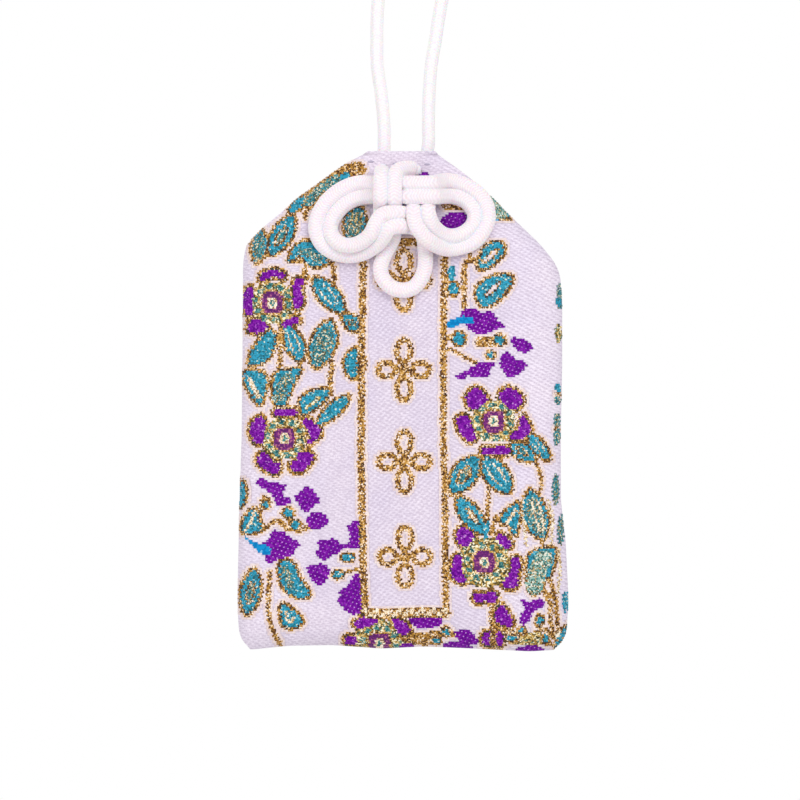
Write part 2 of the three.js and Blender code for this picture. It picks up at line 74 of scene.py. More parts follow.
# Depth of the pouch from front to back
POUCH_DEPTH = 6.2
MOUTH_DEPTH = 2.5
DEPTH_RISE = 14
SIDE_ROUNDING = 6
FOLD_ROUNDING = 5
SEAM_HALF = 0.35
SEAM_TOUCH = 0.04
HEM_DEPTH = 6
HEM_INNER = 0.3
HEM_RADIUS = (MOUTH_DEPTH / 2 - HEM_INNER) / 2
SEAM_ROLL_X = 21.0
SEAM_ROLL_DEPTH = 0.16
SEAM_ROLL_WIDTH = 0.35
SEAM_ROLL_START = 20
SEAM_ROLL_FULL = 26
HOLE_DIMPLE = 0.35
HOLE_DIMPLE_WIDTH = 1.7
HOLE_TIGHTNESS = 0.2  # how much narrower than the cord a hole is, on each side

# Unevenness of the cloth: its height, the drop at which it is full, and its waves, each given as the turn
# per millimetre across, the turn per millimetre down and the start
RIPPLE = 0.10
RIPPLE_RISE = 2.5
RIPPLE_WAVES = [(0.31, 0.12, 0.6), (0.17, -0.23, 1.9)]

# Sheets: how far in the turned-in edge of the brocade lies, from its end to its crease, and how far the
# interlining keeps from the outer surface, the sides and the mouth
SEAM_TURN = (1.2, 0.3, 0.04)
LINING_INSET = 0.9
LINING_MARGIN = 3.2
LINING_TOP_DROP = 8
ROW_STEP = 0.5
FOLD_STEPS = 10
HEM_STEPS = 8
CLOTH_COLUMNS = 97
LINING_COLUMNS = 41

# Middle panel of the design
PANEL_HALF_WIDTH = 5.7
PANEL_HALF_HEIGHT = 26
PANEL_MIDDLE_DROP = 38.9

# Weave: spacing of weft and warp, where it starts and ends, and the coloured weft over the ground
WEFT_PITCH = 0.3
WARP_PITCH = 0.15
WEAVE_HALF_WIDTH = 24
WEAVE_TOP_DROP = 0.75
WEAVE_EDGE_GAP = 0.05
WEAVE_SEED = 11
FLOAT_STEP = 0.6
FLOAT_EDGE_LIFT = 0.05
FLOAT_CREST_LIFT = 0.09
EDGE_JITTER = 0.08
TOOTH = 0.07
OUTLINE_WIDTH = 0.45
CORNER_CUT = 0.2
BLADE_FULLNESS = 0.6
FRAY_SHARE = 0.5
# share of the gold cells beside a coloured fill that are painted dark as shade
CONTOUR_SHADE_SHARE = 0.33
GLOW_COLUMNS = 2
GLOW_ROWS = 1

# Cord
CORD_DIAMETER = 1.9
HOLE_DROP = 2.7
LEFT_HOLE_X = -2.9
RIGHT_HOLE_X = 1.8
RUN_PROUD = 0.4
RUN_BEND = 1.2
RUN_BEND_SHIFT = 0.7
SWING_CLEARANCE = 0.4
FIT_GAP = 0.3
LEFT_STRAND_X = -2.66
RIGHT_STRAND_X = 3.6
STRAND_END_X = 1.1
STRAND_TUCK = 0.7  # share of its distance from the middle that a strand keeps inside the end knot
TAIL_ROOT = 2  # length of a tail inside the end knot
BRAID_PITCH = 0.4
BRAID_PLAITS = 8
BRAID_LEAN = 0.9
BRAID_RELIEF = 0.05
BRAID_STEP = 0.18
CORD_SIDES = 40
CUT_ROUNDING = 0.4  # length of a rounded cut end, as a share of the cord's thickness
CUT_NARROWING = 0.92
ROUTE_STEPS = 24

# Front knot
STRAND_WIDTH = 1.3  # of the knot's solid, which is thinner than its braid
KNOT_WIDTH = 2.25
KNOT_THICKNESS = 1.65
KNOT_BACK_GAP = 0.775
LAYER_PITCH = 1.55

# End knot of the hanging loop
END_KNOT_HEIGHT = 5
END_KNOT_TURNS = 2.6
END_KNOT_HALF_WIDTH = 1.9
END_KNOT_HALF_DEPTH = 1.6
END_KNOT_CORD = 1.75
END_KNOT_PLACES = 40

# Sewing
THREAD_DIAMETER = 0.3
THREAD_SIDES = 6
STITCH_PLACES = 9
SEAM_STITCH = 2.6
LEFT_SEAM_TOP = 16
RIGHT_SEAM_TOP = 19
SEAM_STITCH_INSET = 0.2
SEAM_STITCH_BOW = 0.25
SEAM_STITCH_REACH = 0.45
SEAM_STITCH_SLANT = 0.3
MOUTH_STITCHES = [(-4.5, 1.5), (-1.0, 1.8), (3.4, 1.9)]
MOUTH_STITCH_HALF = 0.55
MOUTH_STITCH_LIFT = 0.06
MOUTH_STITCH_SINK = 0.35

# Places worked out from the frame
pouch_low, pouch_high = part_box("pouch_cloth")
TOP_Z = pouch_high[2] / MM
MIDDLE_Y = (pouch_low[1] + pouch_high[1]) / 2 / MM
FOLD_START = POUCH_HEIGHT - FOLD_ROUNDING
SWING_HEIGHT = CORD_DIAMETER / 2 + SWING_CLEARANCE

# Route of the front knot: x, drop and layer, where layer 0 lies on the cloth and 2 is the front
KNOT_ROUTE = [
    # left neck, down the front, under the lower left band, folded there and slantwise up the back
    (-2.95, 3, 1.15), (-3, 3.6, 1.8), (-3.1, 4.4, 2), (-3.1, 6.95, 2), (-3.1, 7.6, 1.5),
    (-3.1, 8.25, 1), (-3.1, 9.6, 1), (-3, 10.3, 0.6), (-2.3, 10.6, 0.15), (-1, 10.6, 0),
    (0.8, 10.65, 0), (2.3, 10.3, 0), (3.25, 9.3, 0), (3.45, 8.1, 0), (3.45, 7, 0), (3.45, 5.7, 0),
    # folded forwards behind the upper right band, down the lower right band,
    # and inner ring of the right ear
    (3.45, 5, 0.5), (3.45, 5.7, 1), (3.45, 7.45, 1), (3.45, 8.1, 1.45), (3.45, 8.7, 2), (3.6, 9.4, 2),
    (4.05, 10.5, 1.7), (4.85, 11.4, 1.15), (5.9, 12, 0.65), (7.2, 12.1, 0.3), (8.6, 11.6, 0.15),
    (9.7, 10.55, 0), (10.05, 9.1, 0), (9.35, 7.7, 0), (8.1, 6.8, 0), (6.9, 6.5, 0.1), (5.95, 6.5, 0.6),
    (5.15, 6.6, 1.3), (4.5, 6.65, 1.85),
    # over the upper right band, behind the left neck, inner ring of the left ear,
    # and over the lower left band
    (3.45, 6.65, 2), (1.3, 6.65, 2), (0.75, 6.65, 1.95), (0.05, 6.55, 1.5), (-0.6, 6.45, 1.05),
    (-1.1, 6.4, 1), (-3.05, 6.4, 1), (-4.4, 6.5, 0.5), (-5.8, 6.65, 0.1), (-7, 7, 0), (-8.3, 7.8, 0),
    (-9.45, 9.1, 0), (-10.1, 10.5, 0), (-10, 11.8, 0.3), (-9.2, 12.9, 0.6), (-7.9, 13.45, 0.85),
    (-6.5, 13.3, 1.15), (-5.25, 12.65, 1.5), (-4.4, 11.75, 1.85), (-3.95, 10.8, 2), (-3.5, 9.95, 2),
    (-2.95, 9.35, 2), (-2.3, 9.05, 2), (-1.1, 9, 2), (-0.6, 9, 1.95), (0.1, 9.05, 1.4),
    (0.7, 9.15, 0.75),
    # up behind the upper right band, folded forwards there, down the lower right band,
    # and outer ring of the right ear
    (1.2, 8.95, 0.3), (1.45, 8.3, 0.05), (1.5, 7.3, 0), (1.5, 5.75, 0), (1.5, 5.05, 0.5),
    (1.5, 5.75, 1), (1.5, 7.45, 1), (1.5, 8.1, 1.45), (1.5, 8.75, 2), (1.55, 9.6, 2), (1.8, 10.6, 2),
    (2.45, 11.7, 1.9), (3.55, 12.75, 1.6), (5, 13.6, 0.9), (6.4, 13.9, 0.3), (7.8, 13.7, 0),
    (9.6, 13.1, 0), (11.1, 11.6, 0), (11.9, 9.4, 0), (11.4, 7.2, 0), (9.6, 5.4, 0), (7.4, 4.45, 0),
    (5.9, 4.3, 0.4), (5, 4.55, 1.1), (4.2, 4.75, 1.85),
    # over the upper right band, behind the left neck, outer ring of the left ear,
    # and over the lower left band
    (3.45, 4.8, 2), (1.3, 4.8, 2), (0.75, 4.8, 1.95), (0.1, 4.75, 1.5), (-0.55, 4.7, 1.05),
    (-1.1, 4.7, 1), (-3.05, 4.75, 1), (-4.5, 4.7, 0.4), (-6.2, 4.6, 0), (-8.3, 5.3, 0),
    (-10.3, 6.8, 0), (-11.7, 8.8, 0), (-12.2, 11, 0), (-11.4, 13.1, 0), (-9.6, 14.4, 0),
    (-7.6, 14.8, 0), (-6, 14.6, 0.2), (-4.6, 14, 0.6), (-3.4, 13.15, 1.2), (-2.6, 12.15, 1.7),
    (-2, 11.3, 2), (-1.2, 10.9, 2), (-0.55, 10.8, 1.95), (0.1, 10.8, 1.5), (0.75, 10.8, 1.05),
    # behind the lower right band, round the lower loop, and behind the lower left band
    (1.4, 10.9, 1), (2.1, 11.2, 0.85), (2.7, 11.9, 0.55), (3, 12.8, 0.2), (3.1, 14, 0),
    (3.15, 15.3, 0), (3, 16.7, 0), (2.4, 18.2, 0), (1.4, 19.3, 0), (0, 19.65, 0), (-1.6, 19.25, 0),
    (-2.8, 18, 0), (-3.15, 16.5, 0), (-2.7, 15, 0), (-2, 13.6, 0), (-1.45, 12.5, 0.2),
    (-1.25, 11.6, 0.65), (-1.2, 10.5, 1),
    # up the front beside the left neck, and across to the right hole
    (-1.2, 8.25, 1), (-1.2, 7.6, 1.5), (-1.2, 6.95, 2), (-1.2, 4.5, 2), (-1.1, 3.7, 1.85),
    (-0.75, 3.05, 1.6), (0.05, 2.7, 1.15), (1, 2.6, 0.7),
]

# Routes of the two free strands: x, and height above the pouch's top edge
LEFT_STRAND_ROUTE = [
    (-2.66, 3.2), (-2.78, 5.3), (-3.14, 8.75), (-3.64, 12.3), (-3.7, 15.75), (-3.64, 19.25), (-3.3, 24),
    (-2.75, 30), (-2.2, 36), (-1.65, 42), (-1.2, 47),
]
RIGHT_STRAND_ROUTE = [
    (3.6, 3.2), (3.61, 5.3), (3.72, 8.75), (3.99, 12.3), (4.56, 15.75), (5.1, 19.25), (5.9, 24),
    (6.3, 29), (5.7, 34), (4.3, 39), (2.6, 43.5), (1.4, 47),
]

# Routes of the two cut tails: x, y, and height above the top of the end knot
LEFT_TAIL_ROUTE = [(-1.1, 0, 2.2), (-1.7, -0.3, 4.4), (-2.9, -0.6, 6.4)]
RIGHT_TAIL_ROUTE = [(1.1, 0, 2.2), (1.8, 0.3, 4.1), (3.2, 0.5, 5.6)]


# Materials

MATT = 0.06  # specular level of the dull threads


def tone(colour):
    """Linear colour of a display colour, whose channels go from 0 to 255."""
    linear = []
    for channel in colour:
        share = channel / 255
        linear.append(share / 12.92 if share <= 0.04045 else ((share + 0.055) / 1.055) ** 2.4)
    return (*linear, 1)


class Look:
    """A node material on a Principled shader, with its texture places in millimetres."""

    def __init__(self, name, roughness, sheen=0.0, metallic=0.0, specular=0.3):
        self.material = bpy.data.materials.new(name)
        self.material.use_nodes = True
        self.tree = self.material.node_tree
        self.shader = self.tree.nodes["Principled BSDF"]
        self.shader.inputs["Roughness"].default_value = roughness
        self.shader.inputs["Sheen Weight"].default_value = sheen
        self.shader.inputs["Metallic"].default_value = metallic
        self.shader.inputs["Specular IOR Level"].default_value = specular
        places = self.tree.nodes.new("ShaderNodeTexCoord").outputs["Object"]
        self.place = self.add("ShaderNodeVectorMath", operation="SCALE", Vector=places)
        self.place.node.inputs["Scale"].default_value = 1 / MM

    def add(self, kind, output=0, **settings):
        """Adds a node. Names with a capital are sockets, and the others are the node's own settings."""
        node = self.tree.nodes.new(kind)
        for name, value in settings.items():
            if not name[0].isupper():
                setattr(node, name, value)
        for name, value in settings.items():
            if name[0].isupper():
                self.feed(node.inputs[name.replace("_", " ")], value)
        return node.outputs[output]

    def feed(self, socket, value):
        if isinstance(value, bpy.types.NodeSocket):
            self.tree.links.new(value, socket)
        else:
            socket.default_value = value

    def math(self, operation, first, second=0.0):
        node = self.tree.nodes.new("ShaderNodeMath")
        node.operation = operation
        self.feed(node.inputs[0], first)
        self.feed(node.inputs[1], second)
        return node.outputs[0]

    def palette(self, factor, stops, interpolation="LINEAR"):
        """A colour ramp through stops, given as (position, display colour)."""
        node = self.tree.nodes.new("ShaderNodeValToRGB")
        node.color_ramp.interpolation = interpolation
        elements = node.color_ramp.elements
        while len(elements) < len(stops):
            elements.new(0.5)
        for element, (position, colour) in zip(elements, stops):
            element.position = position
            element.color = tone(colour)
        self.feed(node.inputs["Fac"], factor)
        return node.outputs["Color"]

    def speckle(self, size):
        """A random number for each grain of the given size."""
        grains = self.add("ShaderNodeTexVoronoi", "Color", Vector=self.place, Scale=1 / size)
        return self.add("ShaderNodeSeparateColor", "Red", Color=grains)

    def stripes(self, pitch, slope):
        """Fine lines of the given spacing across the cloth, sloping down to the right."""
        split = self.add("ShaderNodeSeparateXYZ", Vector=self.place).node
        fall = self.math("MULTIPLY", split.outputs["X"], slope)
        turn = self.math("MULTIPLY", self.math("ADD", split.outputs["Z"], fall), 2 * math.pi / pitch)
        return self.math("SINE", turn)

    def fall(self, value, start, end):
        """A smooth change from 1 to 0 as the value goes from start to end."""
        return self.add(
            "ShaderNodeMapRange", interpolation_type="SMOOTHSTEP", Value=value,
            From_Min=start, From_Max=end, To_Min=1.0, To_Max=0.0,
        )

    def mix(self, factor, first, second, blend_type="MIX"):
        return self.add(
            "ShaderNodeMix", 2, data_type="RGBA", blend_type=blend_type, Factor=factor, A=first, B=second
        )

    def bump(self, height, distance, strength=1.0):
        normal = self.add("ShaderNodeBump", Height=height, Distance=distance * MM, Strength=strength)
        self.feed(self.shader.inputs["Normal"], normal)

    def colour(self, value):
        self.feed(self.shader.inputs["Base Color"], value)


def ground_look():
    """White satin ground: three families of fine lines, of differing strength over the front, and painted
    shade over the middle of the front.
    """
    look = Look("brocade_ground", 0.6)
    split = look.add("ShaderNodeSeparateXYZ", Vector=look.place).node
    from_middle = look.math("ABSOLUTE", split.outputs["X"])
    height = look.math("SUBTRACT", split.outputs["Z"], TOP_Z - PANEL_MIDDLE_DROP)
    beside = look.math("LESS_THAN", from_middle, PANEL_HALF_WIDTH)
    within = look.math("LESS_THAN", look.math("ABSOLUTE", height), PANEL_HALF_HEIGHT)
    panel = look.math("MULTIPLY", beside, within)
    right = look.math("GREATER_THAN", split.outputs["X"], PANEL_HALF_WIDTH)

    satin_strength, satin_more_on_right = 0.17, 0.09
    twill_strength, twill_more_in_panel = 0.1, 0.08
    weft_strength = 0.14
    satin_share = look.math("ADD", satin_strength, look.math("MULTIPLY", right, satin_more_on_right))
    twill_share = look.math("ADD", twill_strength, look.math("MULTIPLY", panel, twill_more_in_panel))
    satin = look.math("MULTIPLY", look.stripes(pitch=0.589, slope=0.51), satin_share)
    twill = look.math("MULTIPLY", look.stripes(pitch=0.82, slope=-1.0), twill_share)
    weft = look.math("MULTIPLY", look.stripes(pitch=0.342, slope=-0.123), weft_strength)
    lines = look.math("ADD", look.math("ADD", satin, twill), weft)

    grain_strength, painted_shade_strength, mean_level = 0.6, 0.2, 0.5
    grain = look.math("MULTIPLY", look.math("SUBTRACT", look.speckle(size=0.2), 0.5), grain_strength)
    # Painted shade: the ground is darkened over the middle of the front, fading out towards the sides and
    # the top edge.
    middle = look.fall(from_middle, start=8.0, end=20.0)
    below_hem = look.fall(height, start=PANEL_HALF_HEIGHT - 2, end=PANEL_HALF_HEIGHT + 6)
    painted_shade = look.math("MULTIPLY", look.math("MULTIPLY", middle, below_hem), painted_shade_strength)
    base = look.math("SUBTRACT", mean_level, painted_shade)
    level = look.math("ADD", lines, look.math("ADD", grain, base))

    patches = look.add("ShaderNodeTexNoise", Vector=look.place, Scale=0.16, Detail=3.0)
    warm = look.palette(patches, [(0.3, (246, 242, 249)), (0.7, (255, 251, 253))])
    shade = look.palette(level, [(0.0, (212, 201, 217)), (1.0, (249, 242, 253))])
    look.colour(look.mix(1.0, warm, shade, "MULTIPLY"))
    look.bump(level, distance=0.05, strength=0.4)
    return look.material


def weave_grains(look, stops, size):
    """Mixed threads, woven grain by grain and a little uneven."""
    look.bump(look.speckle(1.1 * size), distance=0.05, strength=0.5)
    return look.palette(look.speckle(size), stops, "CONSTANT")


def grain_look(name, stops, size, metallic=0.0, specular=0.3):
    """Weft of mixed threads."""
    look = Look(name, 0.5, metallic=metallic, specular=specular)
    look.colour(weave_grains(look, stops, size))
    return look.material


def bound_look(name, stops, size, point_colour):
    """Weft of mixed threads that is bound down in slanting rows of points, here more and there less."""
    look = Look(name, 0.5, specular=MATT)
    point_edge, patch_floor, patch_gain = 0.66, 0.25, 1.9
    rows = look.stripes(pitch=0.62, slope=0.35)
    columns = look.stripes(pitch=1.1, slope=-1.6)
    crossing = look.math("GREATER_THAN", look.math("MINIMUM", rows, columns), point_edge)
    patches = look.add("ShaderNodeTexNoise", Vector=look.place, Scale=0.5, Detail=1.0)
    share = look.math("MULTIPLY", look.math("SUBTRACT", patches, patch_floor), patch_gain)
    point = look.math("MULTIPLY", crossing, share)
    look.colour(look.mix(point, weave_grains(look, stops, size), tone(point_colour)))
    return look.material


def cord_look(name, hollow, crest):
    """White braid: plaits along the cord, whose strands lean to opposite sides in turn, with painted
    shade in the grooves between strands and lighter crests.
    """
    look = Look(name, 0.65, sheen=0.25)
    look.shader.inputs["Subsurface Weight"].default_value = 0.35
    look.shader.inputs["Subsurface Scale"].default_value = 0.7 * MM
    braid = look.add("ShaderNodeUVMap", uv_map="braid")
    split = look.add("ShaderNodeSeparateXYZ", Vector=braid).node
    lean = look.math("MULTIPLY", look.math("PINGPONG", split.outputs["Y"], 1.0), BRAID_LEAN)
    turn = look.math("MULTIPLY", look.math("ADD", split.outputs["X"], lean), 2 * math.pi)
    strand = look.math("MULTIPLY", look.math("ADD", look.math("COSINE", turn), 1.0), 0.5)
    fibres = look.add("ShaderNodeTexNoise", Vector=look.place, Scale=4.0, Detail=4.0)
    fibre = look.palette(fibres, [(0.3, (248, 246, 247)), (0.7, (255, 255, 255))])
    # Painted shade: the hollow colour darkens the grooves between the strands and the crest colour
    # lightens their tops.
    plait = look.palette(strand, [(0.0, hollow), (1.0, crest)])
    look.colour(look.mix(1.0, plait, fibre, "MULTIPLY"))
    look.bump(look.math("ADD", strand, fibres), distance=0.05, strength=0.4)
    return look.material


def fibre_look(name, light, dark, size, roughness, sheen):
    """Pale fibres of thread, interlining, card or paper."""
    look = Look(name, roughness, sheen=sheen)
    fibres = look.add("ShaderNodeTexNoise", Vector=look.place, Scale=1 / size, Detail=4.0)
    look.colour(look.palette(fibres, [(0.3, dark), (0.7, light)]))
    look.bump(fibres, distance=size / 4, strength=0.4)
    return look.material


def wood_look():
    """Planed softwood with its grain upright."""
    look = Look("tablet_wood", 0.6)
    stretched = look.add("ShaderNodeMapping", Vector=look.place, Scale=(2.2, 2.2, 0.08))
    grain = look.add("ShaderNodeTexNoise", Vector=stretched, Scale=1.0, Detail=5.0)
    look.colour(look.palette(grain, [(0.35, (205, 170, 118)), (0.65, (228, 200, 152))]))
    look.bump(grain, distance=0.05, strength=0.3)
    return look.material


# Threads of each coloured weft: share at which a thread starts, and its display colour
GOLD_GRAINS = [
    (0.0, (62, 30, 2)), (0.22, (118, 74, 16)), (0.44, (178, 128, 44)),
    (0.66, (212, 164, 88)), (0.82, (248, 212, 168)), (0.94, (255, 238, 222)),
]
CREAM_GRAINS = [
    (0.0, (140, 106, 66)), (0.2, (208, 174, 124)), (0.42, (244, 224, 190)),
    (0.7, (255, 246, 230)),
]
FIELD_GRAINS = [
    (0.0, (52, 46, 14)), (0.2, (112, 92, 30)), (0.36, (96, 132, 112)),
    (0.46, (184, 144, 62)), (0.66, (228, 200, 132)), (0.84, (253, 244, 214)),
]
SPECKLE_GRAINS = [
    (0.0, (26, 78, 80)), (0.2, (30, 124, 140)), (0.48, (76, 152, 156)),
    (0.66, (172, 148, 96)), (0.78, (232, 224, 196)), (0.9, (78, 66, 34)),
]
PALE_GRAINS = [
    (0.0, (40, 92, 88)), (0.2, (92, 152, 146)), (0.42, (150, 184, 172)),
    (0.62, (190, 166, 118)), (0.74, (234, 232, 216)), (0.92, (84, 76, 44)),
]
TEAL_GRAINS = [
    (0.0, (8, 88, 102)), (0.16, (16, 116, 136)), (0.38, (24, 144, 172)),
    (0.64, (34, 158, 194)), (0.88, (104, 186, 202)), (0.96, (216, 226, 210)),
]
# Painted shade where a coloured fill meets its gold line
CONTOUR_SHADE_GRAINS = [(0.0, (50, 28, 8)), (0.5, (72, 48, 14)), (0.8, (28, 54, 48))]
GLOW_GRAINS = [(0.0, (224, 202, 206)), (0.3, (234, 214, 214)), (0.7, (243, 227, 224))]
RING_GRAINS = [(0.0, (86, 8, 96)), (0.5, (118, 22, 118)), (0.8, (170, 92, 132))]
PURPLE_GRAINS = [
    (0.0, (92, 4, 130)), (0.25, (120, 16, 156)), (0.6, (138, 34, 170)),
    (0.86, (162, 74, 188)), (0.96, (196, 134, 212)),
]
BUD_GRAINS = [(0.0, (96, 4, 134)), (0.4, (118, 14, 156)), (0.8, (140, 36, 174))]
DULL_GRAINS = [
    (0.0, (30, 82, 88)), (0.3, (64, 126, 128)), (0.65, (104, 160, 150)),
    (0.88, (226, 218, 184)),
]
BLUE_GRAINS = [(0.0, (12, 122, 186)), (0.45, (20, 146, 208)), (0.92, (120, 190, 226))]

GROUND = ground_look()
WOVEN = {
    "gold": grain_look("brocade_gold", GOLD_GRAINS, 0.19, 0.1),
    "cream": grain_look("brocade_cream", CREAM_GRAINS, 0.18),
    "field": grain_look("brocade_field", FIELD_GRAINS, 0.23),
    "speckle": grain_look("brocade_speckle", SPECKLE_GRAINS, 0.18),
    "pale": grain_look("brocade_pale", PALE_GRAINS, 0.2),
    "ring": grain_look("brocade_ring", RING_GRAINS, 0.22),
    "teal": grain_look("brocade_teal", TEAL_GRAINS, 0.2),
    "contour_shade": grain_look("brocade_contour", CONTOUR_SHADE_GRAINS, 0.2),
    "glow": grain_look("brocade_glow", GLOW_GRAINS, 0.25),
    "purple": grain_look("brocade_purple", PURPLE_GRAINS, 0.2, specular=MATT),
    "bud": bound_look("brocade_bud", BUD_GRAINS, 0.2, (226, 172, 240)),
    "dull": grain_look("brocade_dull_teal", DULL_GRAINS, 0.2, specular=MATT),
    "blue": grain_look("brocade_blue", BLUE_GRAINS, 0.3, specular=MATT),
}
# Two copies of one white cord: the knot's is tinted pink as painted light thrown back from the lilac
# cloth, and the free strands' is paler as painted light where they hang clear of the pouch.
KNOT_CORD_PAINTED_BOUNCE = cord_look("cord_braid", (243, 232, 238), (252, 245, 249))
FREE_CORD_PAINTED_LIGHTER = cord_look("cord_braid_free_painted_lighter", (249, 245, 248), (255, 253, 255))
THREAD = fibre_look("sewing_thread", (232, 224, 234), (206, 196, 210), 0.12, 0.6, 0.1)
# The mouth stitches are coloured darker than the sewing thread: painted shade of the pits they pull into
# the cloth.
MOUTH_THREAD_PAINTED_SHADE = fibre_look("mouth_thread", (210, 202, 220), (172, 162, 188), 0.12, 0.6, 0.1)
LINING = fibre_look("interlining_fibre", (242, 240, 232), (230, 226, 214), 0.4, 0.9, 0.0)
CARD = fibre_look("card_fibre", (222, 212, 188), (206, 196, 172), 0.5, 0.85, 0.0)
PAPER = fibre_look("paper_fibre", (247, 244, 235), (240, 235, 224), 0.6, 0.8, 0.0)
WOOD = wood_look()


# Shape of the pouch


def smoothstep(value, start, end):
    share = np.clip((np.asarray(value, float) - start) / (end - start), 0, 1)
    return share * share * (3 - 2 * share)


def rounded_line(stations):
    """A function through (place, value) stations with its corners rounded."""
    places, values = np.array(stations, float).T
    samples = 9
    offsets = np.linspace(-OUTLINE_ROUNDING, OUTLINE_ROUNDING, samples)

    def line(place):
        spread = np.add.outer(np.asarray(place, float), offsets)
        return np.interp(spread, places, values).mean(axis=-1)

    return line


left_side = rounded_line(LEFT_SIDE)
right_side = rounded_line(RIGHT_SIDE)
fold_line = rounded_line(FOLD_LINE)


def ripple(x, drop):
    """Gentle unevenness of the stuffed cloth, the dimples at the holes and the rolled right seam."""
    waves = sum(np.sin(across * x + down * drop + start) for across, down, start in RIPPLE_WAVES)
    height = RIPPLE * waves
    for hole_x in (LEFT_HOLE_X, RIGHT_HOLE_X):
        reach = ((x - hole_x) ** 2 + (drop - HOLE_DROP) ** 2) / HOLE_DIMPLE_WIDTH**2
        height = height - HOLE_DIMPLE * np.exp(-reach)
    roll = np.exp(-(((x - SEAM_ROLL_X) / SEAM_ROLL_WIDTH) ** 2))
    return height - SEAM_ROLL_DEPTH * roll * smoothstep(drop, SEAM_ROLL_START, SEAM_ROLL_FULL)


def middle_depth(drop):
    """Distance of the pouch's outer surface from its middle plane, on its middle line."""
    return MOUTH_DEPTH / 2 + (POUCH_DEPTH - MOUTH_DEPTH) / 2 * smoothstep(drop, 0, DEPTH_RISE)


def half_depth(x, drop):
    """Distance of the pouch's outer surface from its middle plane."""
    left, right = left_side(drop), right_side(drop)
    half = (right - left) / 2
    rounding = np.minimum(SIDE_ROUNDING, half)
    from_middle = np.abs(x - (left + right) / 2)
    edge = np.clip((from_middle - half + rounding) / rounding, 0, 1)
    fold = np.clip((drop - FOLD_START) / FOLD_ROUNDING, 0, 1)
    full = middle_depth(drop) + ripple(x, drop) * (1 - edge**2) * smoothstep(drop, 0, RIPPLE_RISE)
    depth = SEAM_HALF + (full - SEAM_HALF) * np.sqrt(1 - edge**2)
    return depth * np.sqrt(1 - fold**2)


def pouch_place(x, y, drop):
    """Points in metres from places in the pouch's own frame."""
    sag = fold_line(x) * smoothstep(drop, FOLD_WAVE_START, POUCH_HEIGHT)
    x, y, z = np.broadcast_arrays(x, MIDDLE_Y + y, TOP_Z - drop - sag)
    return np.stack([x, y, z], axis=-1) * MM


def on_cloth(x, drop, facing, lift):
    """Points at a height over the cloth. facing is -1 for the front and 1 for the back."""
    nudge = 0.04
    drop = np.clip(drop, nudge, POUCH_HEIGHT - nudge)
    x = np.clip(x, left_side(drop) + nudge, right_side(drop) - nudge)
    across = (half_depth(x + nudge, drop) - half_depth(x - nudge, drop)) / (2 * nudge)
    down = (half_depth(x, drop + nudge) - half_depth(x, drop - nudge)) / (2 * nudge)
    length = np.sqrt(across**2 + down**2 + 1)
    y = facing * (half_depth(x, drop) + lift / length)
    return pouch_place(x - lift * across / length, y, drop - lift * down / length)


# Meshes


def mesh_piece(name, points, faces, materials, choices=None, braid=None):
    """A smooth mesh object.

    choices gives the material of each face, and braid the place of each face's corner in a braid.
    """
    mesh = bpy.data.meshes.new(name)
    mesh.from_pydata([tuple(p) for p in points], [], faces)
    for material in materials:
        mesh.materials.append(material)
    if choices is not None:
        mesh.polygons.foreach_set("material_index", choices)
    if braid is not None:
        mesh.uv_layers.new(name="braid").data.foreach_set("uv", np.ravel(braid))
    mesh.shade_smooth()
    mesh.validate()
    piece = bpy.data.objects.new(name, mesh)
    bpy.context.scene.collection.objects.link(piece)
    return piece


def grid_faces(rows, columns, first=0):
    """Quads of a grid of points stored row by row."""
    faces = []
    for r in range(rows - 1):
        for c in range(columns - 1):
            a = first + r * columns + c
            faces.append((a, a + 1, a + columns + 1, a + columns))
    return faces


# Cloth of the pouch


def cloth_rows(top, inset):
    """Rows of a strip down the front, round the fold and up the back: (drop, facing) pairs."""
    drops = list(np.arange(top, FOLD_START, ROW_STEP))
    for k in range(FOLD_STEPS):
        turn = math.pi / 2 * k / FOLD_STEPS
        drops.append(FOLD_START + (FOLD_ROUNDING - inset) * math.sin(turn))
    front = [(drop, -1) for drop in drops]
    bottom = [(FOLD_START + FOLD_ROUNDING - inset, 0)]
    return front + bottom + [(drop, 1) for drop in reversed(drops)]


def strip_row(drop, facing, inset, margin, columns):
    """One row of a strip between the sides, as x, y and drop."""
    across = np.sin(math.pi / 2 * np.linspace(-1, 1, columns))
    left = left_side(drop) + margin
    right = right_side(drop) - margin
    x = left + (right - left) * (across + 1) / 2
    y = facing * np.maximum(half_depth(x, drop) - inset, 0)
    return x, y, np.full(columns, float(drop))


def turned_edges(x, y, drop, facing):
    """Adds the seam allowance that is turned in at both sides of a row."""
    inward = np.array(SEAM_TURN)
    tuck = facing * np.array([SEAM_TOUCH, SEAM_TOUCH, SEAM_HALF / 2])
    x = np.concatenate([x[0] + inward, x, x[-1] - inward[::-1]])
    y = np.concatenate([tuck, y, tuck[::-1]])
    return x, y, np.full(len(x), drop[0])


def hem_rows(facing):
    """Rows of the hem at the mouth, from its inner edge up to its crease."""
    middle = (MOUTH_DEPTH / 2 + HEM_INNER) / 2
    places = [(drop, HEM_INNER) for drop in (HEM_DEPTH, HEM_DEPTH / 2, HEM_RADIUS)]
    for turn in np.linspace(0, math.pi, HEM_STEPS + 1)[1:-1]:
        places.append((HEM_RADIUS * (1 - math.sin(turn)), middle - HEM_RADIUS * math.cos(turn)))
    rows = []
    for drop, depth in places:
        x, _, drops = strip_row(drop, facing, 0, 0, CLOTH_COLUMNS)
        rows.append(turned_edges(x, np.full(CLOTH_COLUMNS, facing * depth), drops, facing))
    return rows


